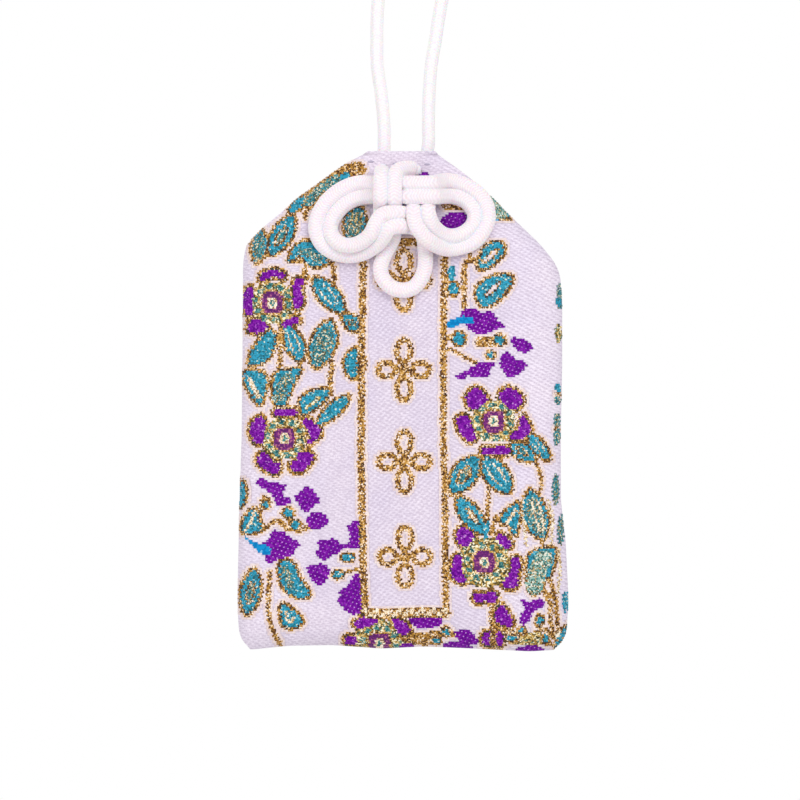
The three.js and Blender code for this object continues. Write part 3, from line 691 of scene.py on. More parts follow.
def pouch_cloth():
    """The brocade strip with its hems folded in at the mouth and a hole for each cord."""
    rows = hem_rows(-1)
    for drop, facing in cloth_rows(HEM_RADIUS, 0):
        rows.append(turned_edges(*strip_row(drop, facing, 0, 0, CLOTH_COLUMNS), facing))
    rows.extend(reversed(hem_rows(1)))
    points = np.concatenate([pouch_place(*row) for row in rows])
    faces = grid_faces(len(rows), len(rows[0][0]))
    centres = points[np.array(faces)].mean(axis=1) / MM
    kept = []
    for face, (x, _, z) in zip(faces, centres):
        height = TOP_Z - z - HOLE_DROP
        near = min(math.hypot(x - hole_x, height) for hole_x in (LEFT_HOLE_X, RIGHT_HOLE_X))
        if near > CORD_DIAMETER / 2 - HOLE_TIGHTNESS:
            kept.append(face)
    return mesh_piece("brocade_strip", points, kept, [GROUND])


def interlining():
    """The plain stiff lining inside the brocade."""
    rows = []
    for drop, facing in cloth_rows(LINING_TOP_DROP, LINING_INSET):
        rows.append(strip_row(drop, facing, LINING_INSET, LINING_MARGIN, LINING_COLUMNS))
    points = np.concatenate([pouch_place(*row) for row in rows])
    faces = grid_faces(len(rows), LINING_COLUMNS)
    return mesh_piece("interlining_strip", points, faces, [LINING])


# Woven design: each motif is a list of (layer, colour, test), where the test says which places of the
# weave grid it covers. Higher layers cover lower ones. Places are (x, drop).

GOLD_LAYER, FIELD_LAYER, FILL_LAYER, MARK_LAYER, FRAME_LAYER, EYE_LAYER = range(6)


def oval(centre, half_width, half_height, angle=0.0, power=2.0):
    """Test for an oval turned clockwise by an angle. A higher power squares its corners."""
    cosine, sine = math.cos(math.radians(angle)), math.sin(math.radians(angle))

    def inside(x, drop):
        dx, dd = x - centre[0], drop - centre[1]
        along = np.abs(dx * cosine + dd * sine) / half_width
        over = np.abs(dd * cosine - dx * sine) / half_height
        return along**power + over**power < 1

    return inside


def blade(base, tip, width, bend=0.0):
    """Test for a leaf shape from its base to its tip."""
    length = math.dist(base, tip)
    ux, ud = (tip[0] - base[0]) / length, (tip[1] - base[1]) / length

    def inside(x, drop):
        dx, dd = x - base[0], drop - base[1]
        along = dx * ux + dd * ud
        share = np.clip(along / length, 0, 1)
        aside = dd * ux - dx * ud - bend * 4 * share * (1 - share)
        within = (along > 0) & (along < length)
        return within & (np.abs(aside) < width / 2 * np.sin(math.pi * share) ** BLADE_FULLNESS)

    return inside


def band(points, width):
    """Test for a line of the given width through points."""

    def inside(x, drop):
        near = np.full(np.broadcast(x, drop).shape, np.inf)
        for (ax, ad), (bx, bd) in zip(points, points[1:]):
            run = max(math.hypot(bx - ax, bd - ad), 1e-6) ** 2
            share = np.clip(((x - ax) * (bx - ax) + (drop - ad) * (bd - ad)) / run, 0, 1)
            away = np.hypot(x - ax - share * (bx - ax), drop - ad - share * (bd - ad))
            near = np.minimum(near, away)
        return near < width / 2

    return inside


def rounded_outline(corners):
    """A closed outline whose corners are cut off, so that it rounds."""
    points = np.array(corners, float)
    after = np.roll(points, -1, axis=0)
    keep = 1 - CORNER_CUT
    cuts = [keep * points + CORNER_CUT * after, CORNER_CUT * points + keep * after]
    return np.stack(cuts, axis=1).reshape(-1, 2)


def patch(corners):
    """Test for what lies inside an outline."""
    outline = rounded_outline(corners)

    def inside(x, drop):
        within = np.zeros(np.broadcast(x, drop).shape, bool)
        for (ax, ad), (bx, bd) in zip(outline, np.roll(outline, -1, axis=0)):
            if ad != bd:
                crosses = (drop < ad) != (drop < bd)
                within ^= crosses & (x < ax + (bx - ax) * (drop - ad) / (bd - ad))
        return within

    return inside


def edge_line(corners, width):
    """Test for a line along a closed outline."""
    outline = rounded_outline(corners)
    return band([*outline, outline[0]], width)


def grown(base, tip, amount):
    """The two ends of a leaf moved apart by an amount."""
    length = math.dist(base, tip)
    shift = [(t - b) / length * amount for b, t in zip(base, tip)]
    return [b - s for b, s in zip(base, shift)], [t + s for t, s in zip(tip, shift)]


def part_way(base, tip, share):
    return [b + (t - b) * share for b, t in zip(base, tip)]


def slit(base, tip, width, filling):
    """A slender opening in a leaf: a gold line round a filling."""
    inner = part_way(base, tip, 0.12), part_way(base, tip, 0.88)
    return [
        (MARK_LAYER, "gold", blade(base, tip, width)),
        (FRAME_LAYER, filling, blade(*inner, 0.6 * width)),
    ]


def leaf(base, tip, width, kind="vein", bend=0.0):
    """A blue-green leaf with a gold outline, which is solid or has a vein, a core or a speckle in it."""
    wide = grown(base, tip, 1.2 * OUTLINE_WIDTH)
    made = [
        (GOLD_LAYER, "gold", blade(*wide, width + 2 * OUTLINE_WIDTH, bend)),
        (FILL_LAYER, "teal", blade(base, tip, width, bend)),
    ]
    if kind == "vein":
        inner = part_way(base, tip, 0.12), part_way(base, tip, 0.84)
        made.append((MARK_LAYER, "cream", blade(*inner, 0.54 * width, bend)))
        middle = part_way(base, tip, 0.06), part_way(base, tip, 0.9)
        made.append((FRAME_LAYER, "teal", blade(*middle, 0.36 * width, bend)))
    elif kind == "core":
        made += slit(part_way(base, tip, 0.2), part_way(base, tip, 0.76), 0.48 * width, "speckle")
    elif kind == "speckle":
        inner = part_way(base, tip, 0.04), part_way(base, tip, 0.9)
        made.append((MARK_LAYER, "speckle", blade(*inner, 0.78 * width, bend)))
    return made


def cut_leaf(corners, mark="cream", vein=None, vein_width=0.45):
    """A leaf of any outline, with a vein in the colour mark."""
    made = [
        (GOLD_LAYER, "gold", edge_line(corners, 2 * OUTLINE_WIDTH)),
        (FILL_LAYER, "teal", patch(corners)),
    ]
    if vein:
        made.append((MARK_LAYER, mark, band(vein, vein_width)))
    return made


def petal(corners):
    """A purple petal with a gold outline."""
    return [
        (GOLD_LAYER, "gold", edge_line(corners, 2.5 * OUTLINE_WIDTH)),
        (FILL_LAYER, "purple", patch(corners)),
    ]


def flower(centre, reach, petals):
    """Petals round a gold field with blue-green dots, a purple ring and an eye."""
    made = [
        (FIELD_LAYER, "field", oval(centre, reach, reach, 0, 2.4)),
        (MARK_LAYER, "gold", oval(centre, 1.7, 1.8, 0, 3)),
        (FRAME_LAYER, "ring", oval(centre, 1.45, 1.55, 0, 3)),
        (EYE_LAYER, "cream", oval(centre, 0.66, 0.76, 0, 3)),
        (EYE_LAYER, "dull", oval(centre, 0.32, 0.4)),
    ]
    dots, dot_radius = 10, 2.35
    for k in range(dots):
        turn = 2 * math.pi * (k + 0.25) / dots
        place = (centre[0] + dot_radius * math.cos(turn), centre[1] + dot_radius * math.sin(turn))
        made.append((FRAME_LAYER, "dull", oval(place, 0.36, 0.38, 0, 4)))
    for corners in petals:
        made.extend(petal(corners))
    return made


def bud(corners):
    """A free purple bud without an outline."""
    return [(FILL_LAYER, "bud", patch(corners))]


def bud_tail(corners):
    """The blue tail of a bud."""
    return [(MARK_LAYER, "blue", patch(corners))]


def bead(centre, half_width, half_height):
    """A small blue-green drop with a gold outline."""
    edge = 0.9 * OUTLINE_WIDTH
    return [
        (GOLD_LAYER, "gold", oval(centre, half_width + edge, half_height + edge)),
        (FILL_LAYER, "teal", oval(centre, half_width, half_height)),
    ]


def stem(points, width=0.6):
    return [(GOLD_LAYER, "gold", band(points, width))]


def dash(centre, half_width, half_height, colour, angle=0.0):
    """A bit of one colour."""
    return [(FILL_LAYER, colour, oval(centre, half_width, half_height, angle))]


def hollow(outer, inner):
    """Test for what lies inside one shape and outside another."""

    def inside(x, drop):
        return outer(x, drop) & ~inner(x, drop)

    return inside


def flower_lozenge(centre, half_width, half_height):
    """A common four-petalled lozenge flower in gold lines, which fills the middle panel."""
    line = 0.85
    made = [(FRAME_LAYER, "gold", oval(centre, line, line))]
    for across, down in ((0, -1), (0, 1), (-1, 0), (1, 0)):
        place = (centre[0] + 0.58 * across * half_width, centre[1] + 0.56 * down * half_height)
        wide = (0.4 if across else 0.34) * half_width
        high = (0.3 if across else 0.42) * half_height
        outer, inner = oval(place, wide, high), oval(place, wide - line, high - line)
        made.append((FRAME_LAYER, "gold", hollow(outer, inner)))
    return made


def upper_left_motifs():
    """What is woven from the left shoulder down to the second flower."""
    made = []
    shoulder = [(-13.4, 7.3), (-11.4, 5.3), (-9.4, 4.0), (-7.8, 3.0), (-6.4, 2.7)]
    made += stem(shoulder, 2.4)
    made.append((MARK_LAYER, "speckle", band(shoulder[:3], 1.3)))
    made += dash((-8.1, 3.6), 0.8, 0.5, "teal", -30)
    made += leaf((-15.9, 8.6), (-13.7, 6.5), 1.3, "solid")
    made += stem([(-13.3, 6.2), (-13.5, 8), (-13.7, 9.4)], 0.8)
    made += leaf((-18.6, 14.6), (-15.4, 9.3), 2.7, "core")
    made += leaf((-20.4, 15.7), (-19.9, 11.2), 2.1, "speckle")
    made += cut_leaf(
        [(-16.1, 15.6), (-15.6, 14.0), (-14.3, 12.9), (-12.9, 12.8), (-11.5, 14.3), (-10.3, 15.5),
         (-11.4, 16.3), (-13.0, 16.2), (-14.2, 15.0), (-15.4, 15.4)],
        "speckle", [(-14.2, 14.2), (-13.0, 14.4), (-11.8, 15.4)], 1.1,
    )
    made += dash((-14.6, 15.4), 0.55, 0.6, "gold")
    made += stem([(-10.2, 15.4), (-9.8, 16.5), (-9.6, 18.2)], 0.8)
    made += stem([(-13.8, 16.7), (-13.4, 17.8)], 0.8)
    made += leaf((-7.4, 12.6), (-6.1, 8.0), 2.9, "speckle")
    for shift in (-0.7, 0.0, 0.6):
        made.append((FRAME_LAYER, "field", band([(-7.1 + shift, 11.7), (-6.3 + shift, 8.8)], 0.3)))
    made += flower((-18.3, 21.4), 2.9, [
        [(-20.2, 18.4), (-19.8, 17.3), (-18.7, 16.8), (-17.5, 16.9), (-16.5, 17.3), (-16.7, 18.2),
         (-17.7, 17.7), (-18.7, 17.9)],
        [(-22.4, 20.2), (-21.6, 19.0), (-20.8, 19.6), (-21.2, 21.2), (-21.0, 23.0), (-22.0, 23.2),
         (-22.6, 21.6)],
        [(-15.4, 18.2), (-14.3, 17.9), (-13.8, 18.4), (-14.4, 19.4), (-13.9, 21.2), (-14.6, 22.3),
         (-15.4, 22.0)],
        [(-21.8, 24.6), (-21.2, 23.8), (-19.9, 23.7), (-18.9, 24.6), (-19.3, 25.4), (-20.3, 25.7),
         (-21.5, 25.5)],
        [(-17.1, 24.4), (-16.3, 23.8), (-14.8, 23.2), (-14.4, 24.0), (-15.5, 24.4), (-15.8, 25.3),
         (-16.7, 25.0)],
    ])
    made += leaf((-12.5, 18.0), (-8.4, 22.6), 2.7, "vein")
    made += leaf((-8.4, 23.3), (-5.8, 25.1), 1.9, "core")
    made += cut_leaf(
        [(-18.4, 25.1), (-17.8, 25.9), (-18.0, 27.8), (-19.1, 29.6), (-21.5, 30.3), (-21.5, 29.4),
         (-21.2, 28.0), (-20.0, 26.4)],
    )
    made += leaf((-16.3, 24.6), (-14.2, 29.5), 2.4, "vein")
    made += leaf((-12.3, 30.4), (-10.1, 24.0), 3.4, "speckle")
    made += stem([(-17.2, 25.6), (-17.1, 28), (-17.3, 30.6)], 0.8)
    made += stem([(-9.9, 29.6), (-10.2, 32), (-10.2, 34.2)], 0.8)
    made += leaf((-6.6, 27.9), (-7.0, 31.9), 2.8, "solid")
    made += cut_leaf(
        [(-22.5, 31.0), (-19.8, 31.0), (-19.0, 31.8), (-19.3, 34.1), (-20.0, 35.8), (-21.0, 34.8),
         (-22.2, 32.7)],
        "cream", [(-21.5, 32.1), (-20.9, 33.4), (-20.2, 34.6)], 0.6,
    )
    made += cut_leaf(
        [(-18.0, 31.2), (-14.6, 30.5), (-14.2, 30.8), (-15.3, 32.6), (-16.3, 35.0), (-16.5, 35.7),
         (-18.2, 35.6), (-18.2, 32.6)],
        "speckle", [(-17.3, 34.8), (-16.9, 33), (-16, 31.9)], 1.5,
    )
    made += cut_leaf(
        [(-14.6, 35.4), (-13.8, 34.2), (-12.2, 33.6), (-10.4, 33.5), (-10.5, 34.5), (-12.2, 36.2),
         (-14.2, 37.1)],
        "field", [(-13.6, 36.1), (-12.4, 35.2), (-11.6, 34.6)],
    )
    made += leaf((-11.9, 38.3), (-7.6, 34.5), 1.7, "solid")
    made += flower((-16.6, 40.4), 2.95, [
        [(-18.3, 36.9), (-17.7, 36.3), (-15.3, 36.2), (-14.6, 36.8), (-15.6, 37.3), (-17.4, 37.3)],
        [(-21.5, 39.3), (-21.2, 38.3), (-20.5, 37.5), (-19.8, 37.2), (-19.2, 38.1), (-19.5, 40.2),
         (-19.6, 41.2), (-20.4, 41.2), (-21.1, 40.5)],
        [(-14.3, 37.7), (-13.1, 37.6), (-11.7, 38.9), (-11.5, 39.7), (-12.0, 40.4), (-13.1, 41.3),
         (-13.6, 40.9), (-12.9, 40.3), (-13.4, 39.1)],
        [(-20.6, 43.4), (-20.0, 42.5), (-19.2, 42.3), (-18.2, 43.7), (-17.1, 43.9), (-17.4, 45.2),
         (-18.3, 45.3), (-19.7, 44.5)],
        [(-15.9, 44.5), (-15.5, 43.7), (-14.8, 43.4), (-14.9, 42.5), (-13.3, 42.1), (-12.5, 42.9),
         (-13.1, 44.1), (-14.0, 45.0), (-15.0, 45.1)],
    ])
    return made


def lower_left_motifs():
    """What is woven from under the second flower down to the fold, left of the panel."""
    made = []
    made += bud([
        (-20.7, 46.6), (-20.3, 46.1), (-19.5, 45.9), (-18.6, 46.7), (-17.1, 46.3), (-17.4, 47.0),
        (-16.1, 46.7), (-16.9, 48.1), (-16.4, 48.6), (-15.5, 48.9), (-16.0, 49.6), (-16.9, 50.0),
        (-17.8, 49.7), (-18.1, 48.4), (-19.5, 47.4),
    ])
    made += bud([
        (-15.3, 48.7), (-14.4, 47.8), (-13.5, 47.0), (-12.7, 47.4), (-11.4, 49.2), (-12.3, 49.6),
        (-13.3, 50.7), (-14.2, 50.5), (-14.4, 49.8),
    ])
    made += bud([
        (-13.7, 51.9), (-13.1, 51.0), (-12.0, 50.5), (-11.1, 50.8), (-10.3, 51.9), (-10.9, 52.7),
        (-12.6, 53.4),
    ])
    made += leaf((-22.8, 50.0), (-22.5, 46.4), 1.3, "solid")
    made += cut_leaf(
        [(-22.7, 52.9), (-22.3, 51.6), (-21.4, 50.4), (-20.4, 50.3), (-20.2, 51.6), (-19.6, 53.1),
         (-20.5, 53.5), (-22.2, 53.7)],
        "cream", [(-20.7, 50.5), (-21.2, 51.8), (-21.9, 53.2)],
    )
    made += stem([(-19.9, 50.9), (-19.9, 49.2), (-19.3, 48.4), (-18.6, 49.2), (-18.7, 50)], 0.5)
    made += bead((-19.2, 49.6), 0.4, 0.5)
    made += bead((-16.1, 50.8), 0.65, 0.6)
    made += bead((-15.1, 52.5), 0.7, 0.5)
    branch = [(-19.4, 53.1), (-18, 51.9), (-17.0, 52.1), (-16.4, 52.9), (-14.6, 53.3), (-13.4, 52.9)]
    made += stem(branch, 0.7)
    made += bud([
        (-19.9, 55.0), (-18.8, 54.6), (-18.6, 53.7), (-17.8, 53.1), (-17.2, 53.6), (-16.6, 53.2),
        (-16.3, 54.0), (-14.2, 55.1), (-15.1, 56.0), (-15.4, 56.8), (-17.1, 57.3), (-19.0, 58.0),
        (-19.4, 56.9), (-18.3, 56.0),
    ])
    made += bud_tail([
        (-22.6, 53.8), (-20.7, 55.0), (-19.6, 55.1), (-18.3, 55.9), (-18.6, 56.8), (-19.9, 56.6),
        (-20.8, 55.7),
    ])
    made += bud([
        (-12.1, 55.0), (-11.6, 54.4), (-10.4, 54.7), (-9.8, 54.2), (-8.7, 55.2), (-7.7, 55.3),
        (-7.3, 53.9), (-7.9, 52.8), (-7.0, 51.9), (-5.7, 52.0), (-5.7, 55.8), (-8.4, 55.8),
        (-9.0, 56.6), (-10.1, 56.9), (-10.8, 57.6), (-11.8, 57.3), (-12.3, 56.4), (-11.6, 55.8),
    ])
    made += bead((-7.7, 57.1), 0.8, 0.45)
    made += bead((-9.1, 59.6), 0.65, 0.45)
    made += stem([(-8.3, 59.3), (-6.3, 58.8)], 0.5)
    made += bud([
        (-13.5, 58.8), (-13.0, 58.0), (-12.3, 58.4), (-11.8, 58.0), (-10.8, 58.1), (-10.1, 59.1),
        (-10.6, 60.4), (-11.5, 61.3), (-12.7, 60.7),
    ])
    made += bud([
        (-6.7, 59.3), (-5.7, 59.8), (-5.6, 65.0), (-7.3, 65.4), (-9.4, 63.5), (-8.7, 62.7), (-9.1, 62.0),
        (-7.9, 61.4), (-7.3, 60.4),
    ])
    made += leaf((-21.9, 64.9), (-20.8, 58.8), 2.7, "core")
    made += cut_leaf(
        [(-17.3, 57.8), (-15.9, 57.5), (-15.0, 58.5), (-14.5, 60.2), (-13.2, 61.8), (-13.1, 62.8),
         (-14.6, 63.0), (-16.0, 62.3), (-17.0, 61.2), (-17.3, 59.6)],
        "speckle", [(-16.4, 58.8), (-16.0, 60.2), (-15.7, 61.2)], 1.0,
    )
    made += cut_leaf(
        [(-16.8, 63.7), (-15.5, 64.6), (-13.9, 66.3), (-14.5, 67.0), (-15.9, 67.3), (-16.9, 66.8),
         (-17.2, 65.4), (-17.2, 64.2)],
        "cream", [(-16.5, 64.9), (-16.3, 66.1), (-15.6, 66.5), (-15.2, 65.8)], 0.4,
    )
    made += stem([(-18.6, 59.1), (-18.8, 61.6), (-18.9, 64.4), (-18.4, 67.2), (-17.2, 69.6)], 0.7)
    return made


def upper_right_motifs():
    """What is woven from the right shoulder down to the first flower there."""
    made = []
    made += bud([
        (5.0, 10.2), (5.6, 9.3), (7.0, 8.6), (8.6, 8.6), (9.1, 9.6), (8.6, 10.6), (7.2, 11.1),
        (5.8, 11.0),
    ])
    made += dash((7.1, 7.9), 1.8, 0.6, "gold", 4)
    made += dash((2.9, 3.6), 0.9, 0.7, "purple")
    made += cut_leaf(
        [(12.1, 6.0), (13.6, 7.3), (15.4, 9.3), (14.0, 9.4), (12.5, 9.3), (11.7, 7.8)],
        "pale", [(12.5, 7.4), (13.7, 8.7)], 2.0,
    )
    made += dash((13.1, 9.6), 0.35, 0.35, "blue")
    made += cut_leaf([
        (10.4, 16.4), (10.7, 15.1), (11.3, 13.7), (12.4, 13.0), (13.9, 13.0), (14.3, 14.1), (13.4, 15.3),
        (12.2, 16.3), (10.9, 16.7),
    ])
    made += slit((11.0, 16.0), (13.4, 13.8), 0.8, "glow")
    made += cut_leaf([
        (10.9, 21.9), (10.1, 20.2), (10.5, 18.9), (11.9, 17.9), (13.8, 17.5), (15.3, 17.6), (14.9, 19.2),
        (13.8, 20.6), (12.4, 21.7),
    ])
    made += slit((11.4, 20.6), (13.7, 18.4), 0.8, "glow")
    made += dash((6.75, 17.3), 0.55, 1.15, "teal")
    made += bead((7.0, 19.4), 0.7, 0.85)
    made += stem([(8.6, 22), (8.5, 18), (8.6, 16.1), (9.3, 15.3), (10.4, 15.6)], 0.8)
    made += stem([(9.3, 14.3), (9.3, 15.3)])
    made += bud([
        (7.9, 22.9), (8.7, 22.2), (9.8, 22.0), (11.0, 22.9), (12.1, 22.5), (12.8, 22.9), (13.5, 24.2),
        (14.5, 24.7), (12.3, 25.4), (10.8, 26.1), (9.1, 25.0),
    ])
    made += bud_tail([
        (5.9, 24.2), (7.7, 23.4), (8.7, 23.2), (9.7, 23.5), (10.1, 24.0), (9.5, 24.4), (8.4, 24.3),
        (6.1, 25.1),
    ])
    made += bead((7.8, 26.4), 0.8, 0.85)
    made += stem([(6.2, 26.2), (7, 26.4)], 0.8)
    made += dash((11.7, 26.9), 1.8, 0.85, "gold")
    made += bead((13.5, 26.6), 0.7, 0.65)
    made += bead((12.3, 28.7), 0.45, 0.4)
    made += stem([(5.9, 27.7), (7.6, 28.3), (9.2, 29.3), (10.6, 29.9)], 0.5)
    made += bud([
        (14.9, 26.6), (15.4, 26.2), (16.4, 26.3), (17.4, 26.7), (18.4, 27.8), (16.9, 28.5), (15.6, 27.8),
    ])
    made += bud([
        (13.7, 28.8), (14.5, 28.2), (15.2, 28.6), (15.7, 29.3), (17.5, 29.7), (17.1, 30.6), (15.7, 31.8),
        (14.5, 31.7), (13.6, 30.4),
    ])
    made += bud([
        (7.3, 31.6), (8.9, 30.9), (10.6, 29.7), (13.3, 29.7), (12.0, 30.8), (12.2, 31.3), (11.9, 31.9),
        (10.0, 31.9), (9.2, 31.5), (8.4, 32.2), (7.6, 32.1),
    ])
    return made


def lower_right_motifs():
    """What is woven from the first flower on the right down to the fold."""
    made = []
    made += flower((12.7, 38.0), 2.95, [
        [(8.7, 34.4), (10.0, 33.3), (10.8, 33.5), (12.0, 35.0), (11.3, 35.5), (10.4, 36.3), (9.1, 36.1)],
        [(13.3, 34.2), (14.4, 33.3), (15.6, 33.5), (16.9, 34.9), (16.3, 36.0), (15.2, 36.5),
         (14.1, 35.6)],
        [(7.4, 37.6), (8.3, 37.1), (9.4, 37.5), (9.6, 38.6), (10.3, 40.4), (9.4, 40.9), (8.6, 40.3),
         (7.9, 39.4)],
        [(16.4, 37.5), (16.9, 37.1), (18.1, 39.3), (17.1, 40.2), (15.9, 40.7), (14.6, 40.3),
         (16.3, 38.9)],
        [(11.0, 41.6), (14.8, 41.5), (15.1, 42.2), (14.6, 42.7), (11.2, 42.7)],
    ])
    made += leaf((15.2, 41.2), (18.3, 43.3), 2.1, "core")
    made += leaf((17.6, 39.9), (20.4, 43.3), 1.7, "vein")
    made += stem([(18.6, 43.6), (19.2, 45.2), (19.4, 47), (19.0, 48.2)])
    made += leaf((6.8, 47.8), (10.4, 43.1), 3.3, "core")
    made += leaf((11.3, 43.1), (14.9, 47.8), 3.2, "vein")
    made += stem([(12, 47.4), (11.9, 50), (11.8, 53)])
    made += stem([(6, 47.8), (7.2, 48.5), (8.6, 48.6)])
    made += leaf((7.6, 48.7), (11.3, 53.6), 2.6, "solid")
    made += slit((8.9, 50.1), (10.6, 52.4), 0.9, "cream")
    made += dash((11.7, 53.2), 0.4, 1.3, "teal", 12)
    made += cut_leaf(
        [(13.5, 52.2), (14.0, 51.0), (15.0, 50.0), (16.2, 49.3), (16.4, 50.2), (16.2, 52.0),
         (16.0, 53.9), (15.2, 53.6), (15.0, 52.4)],
        "cream", [(15.8, 50.4), (15.1, 51.4), (14.5, 52.2)],
    )
    made += leaf((19.6, 54.4), (17.8, 47.7), 3.2, "speckle", -0.2)
    for line in ([(18.0, 49.2), (18.5, 51.4), (19.1, 53.4)], [(18.7, 48.9), (19.5, 51.0), (19.7, 53.2)]):
        made.append((FRAME_LAYER, "cream", band(line, 0.3)))
    made += stem([(19.4, 54.2), (19.8, 56)])
    made += cut_leaf(
        [(17.4, 57.0), (18.4, 56.1), (19.6, 55.8), (21.6, 55.8), (21.3, 57.2), (20.9, 59.2), (19.4, 60.6),
         (18.6, 62.0), (17.7, 61.6), (17.3, 59.6)],
        "pale", [(19.7, 57.2), (19.0, 58.4), (18.4, 60.8)], 2.5,
    )
    made += flower((11.4, 57.7), 3.5, [
        [(7.3, 54.0), (8.2, 52.7), (9.2, 53.1), (10.0, 53.9), (9.6, 54.9), (8.9, 55.5), (8.1, 55.5)],
        [(12.9, 54.3), (13.6, 53.6), (14.2, 54.0), (15.3, 55.0), (15.0, 55.7), (14.1, 55.7)],
        [(6.9, 57.3), (7.5, 56.7), (8.3, 56.9), (8.2, 59.0), (8.9, 59.9), (8.7, 60.7), (6.8, 60.2)],
        [(15.1, 57.1), (15.6, 56.8), (16.5, 57.3), (16.1, 59.4), (16.1, 60.7), (15.4, 61.3), (14.2, 61.1),
         (13.8, 60.6), (15.2, 59.0)],
        [(9.8, 62.6), (10.2, 61.9), (11.3, 62.2), (12.2, 61.7), (13.2, 62.1), (13.1, 63.1), (12.2, 63.4),
         (11.4, 63.0), (10.3, 63.5)],
        [(12.7, 65.3), (13.1, 64.1), (13.9, 63.5), (14.5, 64.2), (15.5, 66.0), (15.0, 66.6),
         (13.1, 66.0)],
    ])
    made += bud([
        (16.3, 62.6), (17.8, 63.0), (18.8, 62.5), (19.7, 62.7), (19.8, 63.7), (18.2, 64.3), (18.0, 65.0),
        (17.3, 66.1), (16.7, 66.2), (16.2, 65.6), (16.5, 64.6), (17.2, 64.0),
    ])
    made += bead((19.1, 65.6), 0.45, 0.65)
    for branch in (
        [(19.5, 61.2), (20.6, 63.4), (20.6, 65.6), (21.2, 68.2)],
        [(20.6, 60.3), (21.4, 63), (21.5, 65.4), (21.9, 67.6)],
        [(18.6, 67.2), (19.8, 66.8), (20.8, 67.4)],
        [(12.4, 63.6), (12.3, 65.5), (12.8, 67), (16.8, 67.2), (19, 68.6), (20.6, 69)],
        [(16.8, 66.8), (17.8, 67.8), (18.6, 69)],
        [(12.9, 51.4), (12.4, 53.8)],
        [(19.4, 61.2), (20.6, 62.4)],
    ):
        made += stem(branch, 0.7)
    made += dash((21.7, 67.7), 0.45, 0.6, "cream")
    for line in (
        [(16.9, 48.8), (16.9, 52), (17.3, 55.4)],
        [(20.4, 49), (21.0, 52), (20.8, 55)],
        [(21.9, 56), (22.0, 59), (21.7, 62)],
    ):
        made.append((GOLD_LAYER, "cream", band(line, 0.4)))
    return made


def bottom_motifs():
    """What shows of the next repeat below the panel."""
    made = []
    made += flower((-3.3, 69.2), 3.4, [
        [(-7.0, 66.5), (-5.8, 65.5), (-3.9, 65.0), (-3.2, 65.9), (-4.6, 66.8), (-6.2, 67.3)],
        [(-1.8, 65.3), (-0.4, 65.8), (0.7, 66.6), (1.0, 67.6), (0.2, 68.3), (-0.8, 67.7)],
        [(-8.2, 68.8), (-7.6, 68.2), (-6.5, 68.5), (-6.5, 69.6), (-8.0, 69.7)],
    ])
    made += bud([(0.7, 65.6), (5.5, 65.5), (5.4, 66.9), (2.6, 67.3), (1.4, 66.8)])
    made += bud([(7.0, 67.8), (8.2, 67.0), (9.4, 67.3), (10.8, 68.8), (9.9, 69.4), (8.2, 69.1)])
    made += [(GOLD_LAYER, "field", oval((17.4, 68.1), 3.4, 0.9))]
    made += stem([(0.2, 67.9), (3, 68.3), (5, 67.8), (7.2, 68.1)], 0.9)
    made += stem([(0.2, 69), (3, 69.4), (4.6, 69.2)], 0.8)
    made += dash((1.9, 68.6), 2.4, 0.7, "gold", 4)
    made += bead((6.0, 67.6), 0.45, 0.55)
    made += bead((4.6, 69.0), 0.6, 0.35)
    made += petal([(11.2, 67.6), (12.5, 67.2), (14.0, 67.4), (14.0, 69.2), (12.5, 69.5), (11.1, 69.2)])
    made += [(MARK_LAYER, "gold", band([(12.6, 67), (12.6, 69.8)], 1.0))]
    made += bead((15.2, 68.1), 0.75, 0.4)
    made += bead((16.6, 67.0), 0.4, 0.35)
    made += bead((20.0, 68.2), 0.4, 0.6)
    made += bud([(15.8, 69.6), (17.4, 69.0), (19.2, 69.2), (20.0, 69.8), (19.4, 70.4), (15.4, 70.4)])
    made += bud([(5.6, 69.5), (6.6, 69.0), (8.6, 69.1), (9.8, 69.6), (9.6, 70.6), (5.6, 70.6)])
    made += bud([(-0.6, 69.7), (0.4, 69.2), (1.6, 69.4), (1.6, 70.4), (-0.6, 70.4)])
    made += leaf((21.4, 69.6), (23.0, 66.6), 0.8, "solid")
    return made


def seam_motifs():
    """Bits of the design of the back that show at the rolled seam on the right."""
    made = []
    for x, drop, high, colour in [
        (22.0, 20.4, 1.9, "speckle"), (21.8, 21.2, 0.6, "teal"), (21.8, 25.6, 1.4, "field"),
        (21.7, 33.3, 0.6, "teal"), (21.7, 34.2, 0.4, "gold"), (21.7, 35.0, 0.6, "speckle"),
        (21.6, 37.9, 1.1, "speckle"), (21.5, 39.1, 0.3, "gold"), (21.6, 40.2, 1.2, "speckle"),
        (21.4, 47.6, 2.3, "speckle"), (22.1, 53.2, 2.2, "speckle"), (22.8, 63.2, 1.5, "teal"),
    ]:
        made += dash((x, drop), 0.5, high, colour)
    return made


def panel_motifs():
    """The gold border of the middle panel and the ornaments in it."""
    left = [(-5.6, 12.9), (-5.6, 16), (-5.85, 30), (-5.85, 46), (-5.5, 60), (-5.3, 64.9)]
    right = [(5.9, 12.9), (5.7, 20), (5.65, 40), (5.9, 50), (6.0, 64.9)]
    top = [left[0], right[0]]
    bottom = [left[-1], right[-1]]
    made = []
    for line, width in ((left, 1.05), (right, 0.95), (bottom, 1.35), (top, 1.1)):
        made.append((FRAME_LAYER, "gold", band(line, width)))
    pale_pitch = 0.8
    (first_x, drop), (last_x, _) = bottom
    for k, x in enumerate(np.arange(first_x, last_x, pale_pitch)):
        shift = 0.3 if k % 2 else -0.25
        made.append((EYE_LAYER, "cream", oval((x, drop + shift), 0.42, 0.34)))
    for centre in ((0.1, 18.2), (0.1, 30.8), (0.2, 43.6), (0.3, 57.0)):
        made += flower_lozenge(centre, 4.1, 4.7)
    return made


